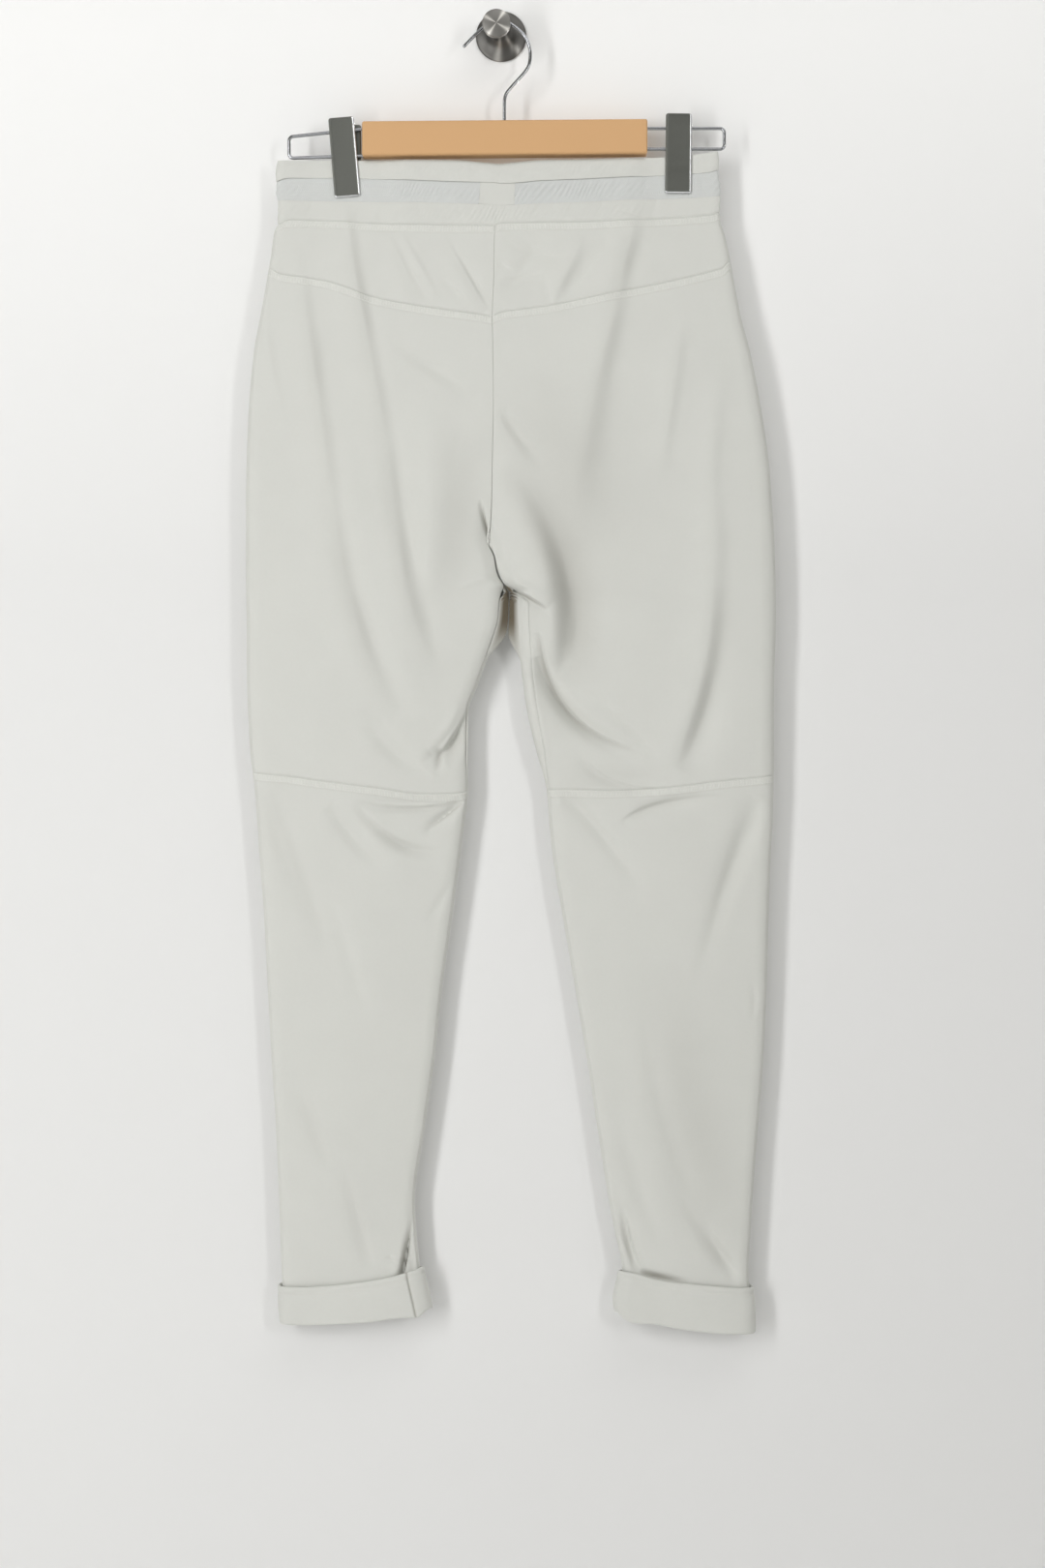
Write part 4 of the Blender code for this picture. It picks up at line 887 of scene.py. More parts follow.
def inseam(half, drop):
    """Turn of the inseam. It is the centre seam's 1 above the crotch and eases away from it below."""
    below = read(INSEAM_RIGHT, "turn", drop) if half == "right" else INSEAM_TURN
    eased = ramp((drop - CROTCH_DROP) / INSEAM_EASE)
    return (1 - TINY_TURN) * (1 - eased) + below * eased


def back_turn(half, drop, across):
    """Turn at a share across a back panel, from the outseam to the centre seam or inseam."""
    return OUTSEAM_TURN + (inseam(half, drop) - OUTSEAM_TURN) * across


def along_seam(half, seam, across):
    """Drop of a seam at each share across a back panel."""
    drop = seam(across)
    for _ in range(SETTLING_STEPS):
        drop = seam(back_turn(half, drop, across))
    return drop


def seams_down(half):
    """Waist seam, yoke seam, knee seam and leg end of a half, each a drop read by turn."""
    return (lambda turn: read(WAIST[half], "waist", turn),
            lambda turn: read(WAIST[half], "yoke", turn),
            lambda turn: read(LEG[half], "knee", turn),
            lambda turn: read(LEG[half], "cuff_bottom", turn) - LEG_END_RISE)


def closeness(count, places):
    """`count` shares from 0 to 1, closer together where the places' second value is larger.

    The closeness is read along straight lines between the places, summed, and cut into equal steps.
    """
    fine = np.linspace(0, 1, CLOSENESS_STEPS)
    known = np.array(places, float)
    density = np.interp(fine, known[:, 0], known[:, 1])
    total = np.concatenate([[0], np.cumsum((density[1:] + density[:-1]) / 2)])
    return np.interp(np.linspace(0, total[-1], count), total, fine)


def grid_normal(points, half):
    """Unit normal at each point of a grid, out of the cloth: the cross product of its two slopes."""
    across = np.gradient(points, axis=1)
    down = np.gradient(points, axis=0)
    normal = np.cross(across, down)
    normal /= np.maximum(np.linalg.norm(normal, axis=-1, keepdims=True), TINY_LENGTH)
    return -normal if half == "left" else normal


def averaged(points):
    """The grid with each point moved to the mean of itself and its neighbours, edges kept."""
    out = points.copy()
    out[1:-1] = (points[:-2] + 2 * points[1:-1] + points[2:]) / 4
    ready = out.copy()
    out[:, 1:-1] = (ready[:, :-2] + 2 * ready[:, 1:-1] + ready[:, 2:]) / 4
    return out


def arc(points, axis):
    """Length along the grid from its first row or column, in millimetres."""
    steps = np.linalg.norm(np.diff(points, axis=axis), axis=-1)
    zero = np.zeros_like(np.take(steps, [0], axis=axis))
    return np.concatenate([zero, np.cumsum(steps, axis=axis)], axis=axis)


def mesh_from(name, points, polygons, uv=None, masks=None):
    """Mesh from points in millimetres and arrays of equal-sized faces, with a UV map and masks by name."""
    mesh = bpy.data.meshes.new(name)
    mesh.vertices.add(len(points))
    mesh.vertices.foreach_set("co", (np.asarray(points) * MM).ravel())
    corners = np.concatenate([faces.ravel() for faces in polygons]).astype(np.int32)
    sizes = np.concatenate([np.full(len(faces), faces.shape[1]) for faces in polygons])
    starts = np.concatenate([[0], np.cumsum(sizes)[:-1]]).astype(np.int32)
    mesh.loops.add(len(corners))
    mesh.loops.foreach_set("vertex_index", corners)
    mesh.polygons.add(len(sizes))
    mesh.polygons.foreach_set("loop_start", starts)
    mesh.update(calc_edges=True)
    if uv is not None:
        layer = mesh.uv_layers.new(name="cloth")
        layer.data.foreach_set("uv", uv[corners].ravel())
    for label, values in (masks or {}).items():
        attribute = mesh.attributes.new(label, "FLOAT", "POINT")
        attribute.data.foreach_set("value", values.astype(np.float32))
    if mesh.validate():
        raise RuntimeError(f"{name}: the mesh had faults")
    return mesh


def piece(name, mesh, finish, replaces):
    """Object of a finished mesh that rides with the body and stands for its CAD nodes."""
    mesh.shade_smooth()
    mesh.set_sharp_from_angle(angle=SHARP_ANGLE)
    mesh.materials.append(finish_named(finish))
    thing = bpy.data.objects.new(name, mesh)
    bpy.context.scene.collection.objects.link(thing)
    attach(thing, "root")
    if replaces:
        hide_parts(*replaces)
    return thing


def shell(name, outer, half, masks):
    """Closed wall of cloth: the outer grid, a plainer inner grid and a rim that joins them.

    The inner grid takes every third row and column of the smoothed outer one, moved in by the cloth's
    thickness along its normal.
    """
    sizes = bpy.context.scene.sweatpants_cloth
    rows, columns = outer.shape[:2]
    soft = averaged(averaged(outer))
    inner = (soft - sizes.wall / MM * grid_normal(soft, half))[::INNER_STEP, ::INNER_STEP]
    inner_rows, inner_columns = inner.shape[:2]
    points = np.concatenate([outer.reshape(-1, 3), inner.reshape(-1, 3)])
    at = np.arange(rows * columns).reshape(rows, columns)
    deep = np.arange(inner_rows * inner_columns).reshape(inner_rows, inner_columns) + rows * columns

    def quads(grid):
        return np.stack([grid[:-1, :-1], grid[:-1, 1:], grid[1:, 1:], grid[1:, :-1]], axis=-1).reshape(-1, 4)

    def loop(grid):
        return np.concatenate([grid[0, :-1], grid[:-1, -1], grid[-1, :0:-1], grid[:0:-1, 0]])

    rim, deep_rim = loop(at), loop(deep)
    count = len(deep_rim)
    fine = (np.arange(count)[:, None] * INNER_STEP + np.arange(INNER_STEP, -1, -1)) % len(rim)
    joint = np.stack([deep_rim, np.roll(deep_rim, -1)], axis=-1)
    polygons = [quads(at), quads(deep)[:, ::-1], np.concatenate([rim[fine], joint], axis=1)]
    if half == "left":
        polygons = [faces[:, ::-1] for faces in polygons]
    lengths = np.stack([arc(outer, 1), arc(outer, 0)], axis=-1) * MM
    uv = np.concatenate([lengths.reshape(-1, 2), lengths[::INNER_STEP, ::INNER_STEP].reshape(-1, 2)])
    hidden = np.zeros(inner_rows * inner_columns)
    masks = {label: np.concatenate([values.ravel(), hidden]) for label, values in masks.items()}
    return mesh_from(name, points, polygons, uv, masks)


def edge_dip(points, below, above):
    """How far the cloth dips into its seams: a bell beside each of the four sewn edges."""
    sizes = bpy.context.scene.sweatpants_cloth
    reach = sizes.seam_reach / MM
    along = arc(points, 1)
    total = bell(below / reach) + bell(above / reach)
    total = total + bell(along / reach) + bell((along[:, -1:] - along) / reach)
    return -sizes.seam_dip / MM * np.minimum(total, 1.0)


def coverstitch_band(below):
    """1 on the band that the coverstitching raises under a seam, 0 beyond it, with soft shoulders."""
    rise = ramp((below - BAND_START + BAND_SOFT_START / 2) / BAND_SOFT_START)
    return rise * (1 - ramp((below - BAND_END + BAND_SOFT_END / 2) / BAND_SOFT_END))


# Grids: how many columns and rows, and where they lie closer together.
YOKE_COLUMNS = closeness(190, [(0, 1.6), (0.05, 1.0), (0.6, 1.0), (1, 1.5)])
YOKE_ROWS = closeness(97, [(0, 2.6), (0.12, 2.2), (0.2, 1.0), (0.9, 1.0), (1, 2.2)])
THIGH_COLUMNS = closeness(211, [(0, 1.6), (0.04, 0.8), (0.6, 0.8), (0.78, 1.7), (0.97, 1.9), (1, 2.4)])
THIGH_ROWS = closeness(343, [(0, 4.0), (0.02, 3.4), (0.03, 0.8), (0.38, 0.8), (0.44, 1.5), (0.72, 1.5),
                             (0.86, 1.2), (0.985, 1.4), (1, 3.4)])
CALF_COLUMNS = closeness(127, [(0, 1.6), (0.06, 1.0), (0.9, 1.0), (1, 1.8)])
CALF_ROWS = closeness(286, [(0, 4.4), (0.018, 3.8), (0.028, 1.5), (0.16, 1.2), (0.3, 0.7), (0.8, 0.7),
                            (0.88, 1.3), (1, 1.5)])
FRONT_COLUMNS = closeness(91, [(0, 1.8), (0.1, 1.0), (0.9, 1.0), (1, 1.8)])
FRONT_ROW_COUNTS = (46, 136, 109)
BAND_SPACING = closeness(BAND_ROWS, [(0, 1.8), (0.15, 1.0), (0.85, 1.0), (1, 1.8)])


def back_panel(name, half, top, bottom, columns, rows):
    """Panel of the back between two seams, from the outseam to the centre seam or inseam."""
    sizes = bpy.context.scene.sweatpants_cloth
    upper = along_seam(half, top, columns) + HALF_GAP
    lower = along_seam(half, bottom, columns) - HALF_GAP
    drops = upper + (lower - upper) * rows[:, None]
    points = face(half, back_turn(half, drops, columns), drops)
    below, above = drops - upper, lower - drops
    mask = coverstitch_band(below)
    relief = edge_dip(points, below, above) + sizes.band_height / MM * mask
    seam = bell(below / SEAM_SHADE_REACH) + LOWER_SEAM_SHARE * bell(above / SEAM_SHADE_REACH)
    foot = bell((below - BAND_END - SEAM_SHADE_REACH) / SEAM_SHADE_REACH)
    # Painted shade: along the crease lines, at the seams and at the foot of each coverstitched band.
    crease = fold_height(PAINTED_SHADE_LINES, points[..., 0], drops) + SEAM_SHADE * seam + BAND_SHADE * foot
    masks = {"coverstitch": mask, "crease": np.clip(crease, 0, 1)}
    return shell(name, points + relief[..., None] * grid_normal(points, half), half, masks)


def edge_marks(half, way):
    """Drops of a leg's waist, yoke and knee seams and its end, at its outseam (0) or inner edge (1)."""
    marks = [float(along_seam(half, seam, float(way))) for seam in seams_down(half)]
    if way == 1:
        marks[0] = FRONT_CENTRE["waist"]
    return marks


def web(half, turns, drops):
    """How far the front reaches in from a leg's inner edge to the middle of the gap, and the painted shade of
    the hollow between the legs on it.
    """
    gap = (read(OUTLINE, "right_inner", drops) - read(OUTLINE, "left_inner", drops)) / 2
    share = ramp((drops - WEB_START) / WEB_START_LENGTH) * (1 - ramp(np.abs(turns - 1) / WEB_TURN))
    reach = np.maximum(gap - HALF_GAP, 0) * share * (1 - ramp((drops - WEB_FADE) / WEB_FADE_LENGTH))
    shade = np.minimum(WEB_PAINTED_SHADE_RISE * share, 1) * (1 - ramp((drops - PAINTED_SHADE_FADE) / PAINTED_SHADE_FADE_LENGTH))
    return reach * (1 if half == "left" else -1), shade


def front_panel(name, half):
    """Front of a leg, from the waistband to the hem, wrapped round both edges.

    Its turns run on from the back's, so the same normal points outwards.
    """
    sizes = bpy.context.scene.sweatpants_cloth
    steps = [np.linspace(step, step + 1, count) for step, count in enumerate(FRONT_ROW_COUNTS)]
    down = np.concatenate([steps[0]] + [stretch[1:] for stretch in steps[1:]])
    marks = np.arange(len(FRONT_EASE))
    inner, side, ease = (np.interp(down, marks, values)[:, None]
                         for values in (edge_marks(half, 1), edge_marks(half, 0), FRONT_EASE))
    across = FRONT_COLUMNS
    drops = inner + (side - inner) * (across + (ramp(across) - across) * ease) + HALF_GAP
    first = inseam(half, inner) + FRONT_TURN_GAP * ramp((inner - CROTCH_DROP) / INSEAM_EASE)
    turns = first + (2 + OUTSEAM_TURN - FRONT_TURN_GAP - first) * across
    points = face(half, turns, drops)
    # The front's inner edge carries the painted shade of the hollow between the legs.
    reach, shade = web(half, turns, drops)
    points[..., 0] += reach
    below = drops - drops[0]
    mask = coverstitch_band(below)
    relief = edge_dip(points, below, drops[-1] - drops) + sizes.band_height / MM * mask
    return shell(name, points + relief[..., None] * grid_normal(points, half), half,
                 {"coverstitch": mask, "crease": shade})


def way_at(half, x):
    """Turn on the back of the rib stripe where the cloth reaches x, found by halving."""
    side = edges(half, RIB_MIDDLE_DROP)[0]
    low, high = 0.5, 1.0
    for _ in range(HALVING_STEPS):
        middle = (low + high) / 2
        reached = face(half, middle, RIB_MIDDLE_DROP, folded=False)[0]
        if abs(reached - side) < abs(x - side):
            low = middle
        else:
            high = middle
    return low


def ripple(x, drop):
    """Uneven slanting waves: a sine whose phase drifts and whose height swells and fades."""
    phase = (x + RIPPLE_LEAN * drop) / RIPPLE_PITCH + RIPPLE_WANDER * np.sin(x / RIPPLE_DRIFT)
    swell = (1 - RIPPLE_UNEVEN) + RIPPLE_UNEVEN * np.sin(x / RIPPLE_SWELL + drop / RIPPLE_DRIFT)
    return np.sin(2 * math.pi * phase) * swell


def band(shape, half, back_end):
    """Strip of the waistband from the centre of the front round the side to back_end on the back.

    It rolls outwards as half a sine between its two edges, dips beside its seams, and its lower edge
    may stand proud. The bar's shadow is painted on the top band's edge.
    """
    sizes = bpy.context.scene.sweatpants_cloth
    front = np.linspace(1, 2, BAND_FRONT_COLUMNS)
    back = np.linspace(2, 2 + back_end - TINY_TURN, BAND_BACK_COLUMNS)[1:]
    turns = np.broadcast_to(np.concatenate([front, back]), (BAND_ROWS, len(front) + len(back)))
    rows = BAND_SPACING[:, None]
    on_top = shape.level == "top"
    upper = seam_drop(half, shape.level, turns) + HALF_GAP - TOP_EDGE_RISE * on_top
    lower = seam_drop(half, shape.next_level, turns) - HALF_GAP
    drops = upper + (lower - upper) * rows
    points = face(half, turns, drops)
    x = points[..., 0]
    reach = sizes.seam_reach / MM
    bulge = np.sin(math.pi * rows)
    relief = shape.roll * bulge + shape.lower_edge * ramp(rows / LOWER_EDGE_RISE)
    relief = (relief + shape.ripple * ripple(x, drops) * bulge) * calm_at_clips(x)
    relief = relief - shape.upper_dip * bell((drops - upper) / reach)
    relief = relief - shape.lower_dip * bell((lower - drops) / reach)
    # Painted shadow of the bar along the top band's upper edge.
    under_bar = ramp((x - BAR_LEFT) / BAR_SHADE_SOFT) * ramp((BAR_RIGHT - x) / BAR_SHADE_SOFT) * (turns > 2)
    shade = BAR_SHADE * bell((drops - upper) / BAR_SHADE_REACH) * under_bar * on_top
    return shell(f"{shape.name}_{half}", points + relief[..., None] * grid_normal(points, half), half,
                 {"crease": shade})


def back_piece():
    """Plain stretch of waistband between the two rib ends, across the centre seam."""
    rows = np.linspace(0, 1, BAND_ROWS)[:, None]
    ends = {half: way_at(half, RIB_ENDS[half]) + RIB_END_TURN_GAP for half in HALVES}
    stretches = {"left": np.linspace(ends["left"], 1 - TINY_TURN, BACK_PIECE_COLUMNS["left"]),
                 "right": np.linspace(1 - TINY_TURN, ends["right"], BACK_PIECE_COLUMNS["right"])[1:]}
    grids = []
    for half, ways in stretches.items():
        turns = np.broadcast_to(ways, (len(rows), len(ways)))
        upper = seam_drop(half, "fold", turns) + HALF_GAP
        lower = seam_drop(half, "rib", turns) - HALF_GAP
        grids.append(face(half, turns, upper + (lower - upper) * rows))
    points = np.concatenate(grids, axis=1)
    last = points.shape[1] - 1
    pick = np.round(np.linspace(0, last, last // INNER_STEP * INNER_STEP + 1)).astype(int)
    return shell("waist_back_piece", points[:, pick], "left", {})


def cuff(name, half):
    """Turned-up cuff: a double wall outside the leg that bends in under the leg's end.

    A closed profile of distance out and drop is carried round the leg. Its outer side bulges a little,
    has one level dent, a seam darkened with painted shade, and soft waves, and its lower edge is a half
    round.
    """
    turns = np.linspace(0, 2, CUFF_COLUMNS, endpoint=False)
    turns = turns - CUFF_CROWDING * np.sin(2 * math.pi * turns) / (2 * math.pi)
    top = leg_drop(half, "cuff_top", turns)
    bottom = leg_drop(half, "cuff_bottom", turns)
    height = bottom - top
    outside = CUFF_STAND_OFF + CUFF_WALL
    wave = sum(high * np.sin(2 * math.pi * turns * count + phase) for high, count, phase in CUFF_WAVES)
    seam = bell((turns - CUFF_SEAMS[half]) / CUFF_SEAM_WIDTH)
    profile = [(out, top + below) for out, below in CUFF_TOP_ROLL]
    for share in np.linspace(*CUFF_OUTSIDE):
        below = share * height
        dent = CUFF_CREASE_DEPTH * bell((below - CUFF_CREASE_BELOW) / CUFF_CREASE_WIDTH)
        swell = (CUFF_BULGE + CUFF_WAVE_SHARE * wave) * math.sin(math.pi * share)
        profile.append((outside + swell - dent - CUFF_SEAM_DEPTH * seam, top + below))
    for angle in np.radians(CUFF_ROUND_ANGLES):
        out = outside - CUFF_ROUND * (1 - math.cos(angle))
        profile.append((out, bottom - CUFF_ROUND * (1 - math.sin(angle))))
    profile += [(out, bottom - above) for out, above in CUFF_TURN_IN]
    profile += [(CUFF_STAND_OFF, top + share * height) for share in CUFF_INSIDE]
    rings = []
    for out, drop in profile:
        points = face(half, turns, drop, folded=False)
        ahead = face(half, turns + LOOK_AHEAD, drop, folded=False)
        ahead = ahead - face(half, turns - LOOK_AHEAD, drop, folded=False)
        normal = np.stack([ahead[:, 1], -ahead[:, 0], np.zeros(len(turns))], axis=-1)
        normal /= np.linalg.norm(normal, axis=-1, keepdims=True) * (1 if half == "left" else -1)
        rings.append(points + np.broadcast_to(out, turns.shape)[:, None] * normal)
    grid = np.array(rings)
    # Painted shade along the cuff's seam.
    shade = np.broadcast_to(CUFF_SEAM_SHADE * seam, grid.shape[:2])
    return ring_mesh(name, grid, half == "right", closed_both=True, masks={"crease": shade.ravel()})


def ring_mesh(name, grid, flip, closed_both=False, masks=None):
    """Mesh of rings of points, each closed on itself.

    The last ring joins the first, or else both ends are capped with one face each.
    """
    rings, sides = grid.shape[:2]
    at = np.arange(rings * sides).reshape(rings, sides)
    following = np.roll(at, -1, axis=1)
    count = rings if closed_both else rings - 1
    corners = [at, following, np.roll(following, -1, axis=0), np.roll(at, -1, axis=0)]
    polygons = [np.stack([corner[:count] for corner in corners], axis=-1).reshape(-1, 4)]
    if not closed_both:
        polygons += [at[:1, ::-1], at[-1:]]
    if flip:
        polygons = [faces[:, ::-1] for faces in polygons]
    around = np.linspace(0, 1, sides, endpoint=False)
    perimeter = np.linalg.norm(np.roll(grid, -1, axis=1) - grid, axis=-1).sum(axis=1).mean()
    down = np.concatenate([[0], np.cumsum(np.linalg.norm(np.diff(grid, axis=0), axis=-1).mean(axis=1))])
    uv = np.stack(np.broadcast_arrays(around * perimeter, down[:, None]), axis=-1) * MM
    return mesh_from(name, grid.reshape(-1, 3), polygons, uv.reshape(-1, 2), masks)


def stitch_row(half, seam, first, last, below):
    """Points, headings and normals of the stitches in one row, evenly spaced along a seam."""
    sizes = bpy.context.scene.sweatpants_cloth
    turns = np.linspace(first, last, STITCH_SAMPLES)
    drops = seam(turns) + below
    points = face(half, turns, drops)
    lower = face(half, turns, drops + STITCH_LOOK_DOWN)
    along = np.gradient(points, axis=0)
    normal = np.cross(along, lower - points)
    normal /= np.linalg.norm(normal, axis=-1, keepdims=True) * (-1 if half == "left" else 1)
    points = points + normal * (sizes.band_height / MM + STITCH_LIFT)
    length = np.concatenate([[0], np.cumsum(np.linalg.norm(np.diff(points, axis=0), axis=-1))])
    count = int(length[-1] / (sizes.stitch_pitch / MM))
    places = (np.arange(count) + 0.5) * length[-1] / count

    def at(values):
        return np.stack([np.interp(places, length, values[:, axis]) for axis in range(3)], axis=-1)

    heading = at(along / np.linalg.norm(along, axis=-1, keepdims=True))
    return at(points), heading, at(normal)


def stitch_mesh(name, rows):
    """Small spindles of thread: two five-sided rings between two points, one for each stitch."""
    sizes = bpy.context.scene.sweatpants_cloth
    centre, heading, normal = (np.concatenate([row[part] for row in rows]) for part in range(3))
    side = np.cross(normal, heading)
    ahead = heading * (sizes.stitch_length / MM / 2)
    radius = sizes.thread / MM / 2
    angle = np.arange(STITCH_SIDES) * 2 * math.pi / STITCH_SIDES
    ring = np.cos(angle)[:, None, None] * side + np.sin(angle)[:, None, None] * normal
    ring = np.moveaxis(ring, 0, 1) * radius
    sunk = centre - normal * radius * STITCH_SINK
    shoulder = ahead * STITCH_SHOULDER
    points = np.concatenate([(sunk - ahead)[:, None], (centre - shoulder)[:, None] + ring,
                             (centre + shoulder)[:, None] + ring, (sunk + ahead)[:, None]], axis=1)
    each = points.shape[1]
    sides = np.arange(STITCH_SIDES)
    following = np.roll(sides, -1)
    first_ring, second_ring = 1 + sides, 1 + STITCH_SIDES + sides
    tips = np.concatenate([
        np.stack([0 * sides, 1 + following, first_ring], axis=-1),
        np.stack([0 * sides + each - 1, second_ring, 1 + STITCH_SIDES + following], axis=-1),
    ])
    walls = np.stack([first_ring, 1 + following, 1 + STITCH_SIDES + following, second_ring], axis=-1)
    base = np.arange(len(points))[:, None, None] * each
    return mesh_from(name, points.reshape(-1, 3),
                     [(tips + base).reshape(-1, 3), (walls + base).reshape(-1, 4)])


def tube(name, path, radius, sides, tips=False):
    """Round wire: a ring of points carried along a path that lies in a plane of constant y.

    Each ring is spanned by the y axis and by the path's normal in its plane. Tips round the start off.
    """
    run = np.gradient(path, axis=0)
    run /= np.linalg.norm(run, axis=-1, keepdims=True)
    radii = np.full(len(path), float(radius))
    if tips:
        angles = np.radians(TIP_ANGLES)
        lead = [path[0] - run[0] * radius * math.sin(angle) for angle in angles]
        radii = np.concatenate([radius * np.cos(angles), radii[1:]])
        radii[0] = radius * TIP_END_SHARE
        path = np.concatenate([lead, path[1:]])
        run = np.concatenate([np.repeat(run[:1], len(lead), axis=0), run[1:]])
    across = np.stack([-run[:, 2], np.zeros(len(path)), run[:, 0]], axis=-1)
    angle = np.arange(sides) * 2 * math.pi / sides
    ring = np.cos(angle)[None, :, None] * across[:, None, :]
    ring = ring + np.sin(angle)[None, :, None] * np.array([0.0, 1.0, 0.0])
    return ring_mesh(name, path[:, None, :] + ring * radii[:, None, None], False)


def smooth_route(points, steps):
    """Points on a smooth curve through the given ones, each span a cubic set by its neighbours."""
    known = np.array([points[0]] + list(points) + [points[-1]], float)
    before, start, end, after = known[:-3], known[1:-2], known[2:-1], known[3:]
    share = (np.arange(steps) / steps)[None, :, None]
    bend = (2 * before - 5 * start + 4 * end - after)[:, None] * share ** 2
    twist = (-before + 3 * start - 3 * end + after)[:, None] * share ** 3
    spans = 0.5 * (2 * start[:, None] + (end - before)[:, None] * share + bend + twist)
    return np.concatenate([spans.reshape(-1, known.shape[1]), known[-2:-1]])


def rail_path(shape):
    """Hairpin out of the bar's end, round its tip and back, with an arc at each corner."""
    way = math.copysign(1.0, shape.tip - shape.bar_end)
    start = shape.bar_end - way * RAIL_IN_BAR
    points = [(start, HANGER_Y, -shape.top_bar)]
    for centre_drop, first_angle in ((shape.top_tip + RAIL_BEND, 90), (shape.bottom_tip - RAIL_BEND, 0)):
        for angle in np.radians(first_angle - np.linspace(0, 90, RAIL_BEND_STEPS)):
            along = shape.tip - way * RAIL_BEND * (1 - math.cos(angle))
            points.append((along, HANGER_Y, -centre_drop + RAIL_BEND * math.sin(angle)))
    points.append((start, HANGER_Y, -shape.bottom_bar))
    return np.array(points)


def round_outline(width, height, corner):
    """Rectangle with round corners, as points of (along, high) going counter-clockwise."""
    corner = max(corner, LEAST_CORNER)
    angles = np.radians(np.linspace(0, 90, CORNER_POINTS))
    points = []
    for side, up, first in ((1, 1, 0), (-1, 1, 90), (-1, -1, 180), (1, -1, 270)):
        turn = angles + math.radians(first)
        along = side * (width / 2 - corner) + corner * np.cos(turn)
        high = up * (height / 2 - corner) + corner * np.sin(turn)
        points.append(np.stack([along, high], axis=-1))
    return np.concatenate(points)


def plate_mesh(shape, rings):
    """Plate built of round-cornered outlines, each set in by a distance and lying at its own depth."""
    lean = math.radians(shape.lean)
    grid = []
    for inset, depth in rings:
        outline = round_outline(shape.width - 2 * inset, shape.height - 2 * inset, CLIP_CORNER - inset)
        x = shape.x + outline[:, 0] * math.cos(lean) - outline[:, 1] * math.sin(lean)
        z = -shape.drop + outline[:, 0] * math.sin(lean) + outline[:, 1] * math.cos(lean)
        grid.append(np.stack([x, np.full(len(x), shape.y + depth), z], axis=-1))
    return ring_mesh(shape.name, np.array(grid), True)


def painted_highlight_rim(thing):
    """Give a clip's rolled rim a brighter metal on its right side and at its foot only: a painted highlight
    where the light falls.
    """
    thing.data.materials.append(finish_named("rolled_edge"))
    index = np.zeros(len(thing.data.polygons), dtype=np.int32)
    each = 4 * CORNER_POINTS
    place, ring = np.arange(len(index)) % each, np.arange(len(index)) // each
    # The outline runs from the right side over the top and the left side to the foot.
    lit = (place >= each // 2) | (place < each // 4 - 1)
    index[(ring > 0) & (ring < CLIP_RIM_RINGS) & lit] = 1
    thing.data.polygons.foreach_set("material_index", index)


def bar_mesh():
    """Wooden bar: a rectangle with round corners carried along x, shrinking at both eased ends."""
    high = BAR_BOTTOM_DROP - BAR_TOP_DROP
    middle = -(BAR_TOP_DROP + BAR_BOTTOM_DROP) / 2
    stations = [(BAR_LEFT + along, inset) for along, inset in BAR_EASE]
    stations += [(x, 0.0) for x in np.linspace(BAR_LEFT + BAR_PLAIN, BAR_RIGHT - BAR_PLAIN, BAR_STATIONS)]
    stations += [(BAR_RIGHT - along, inset) for along, inset in BAR_EASE[::-1]]
    grid = []
    for x, inset in stations:
        outline = round_outline(BAR_THICK - 2 * inset, high - 2 * inset, BAR_CORNER)
        high_here = middle + outline[:, 1] + BAR_SLOPE * (x - BAR_LEFT)
        grid.append(np.stack([np.full(len(outline), x), HANGER_Y + outline[:, 0], high_here], axis=-1))
    return ring_mesh("hanger_bar", np.array(grid), True)


def knob_mesh():
    """Turned steel knob: its profile spun about the axis that stands out from the wall."""
    profile = np.array(KNOB_PROFILE)
    angle = np.arange(KNOB_SIDES) * 2 * math.pi / KNOB_SIDES
    sag = np.clip(profile[:, 0, None] / KNOB_SAG_REACH, 0, 1) ** 2
    x = profile[:, 1, None] * np.cos(angle) + KNOB_SAG[0] * sag
    z = profile[:, 1, None] * np.sin(angle) + KNOB_SAG[1] * sag
    y = np.broadcast_to(-profile[:, 0, None], x.shape)
    return ring_mesh("wall_knob", np.stack([x, y, z], axis=-1), True)


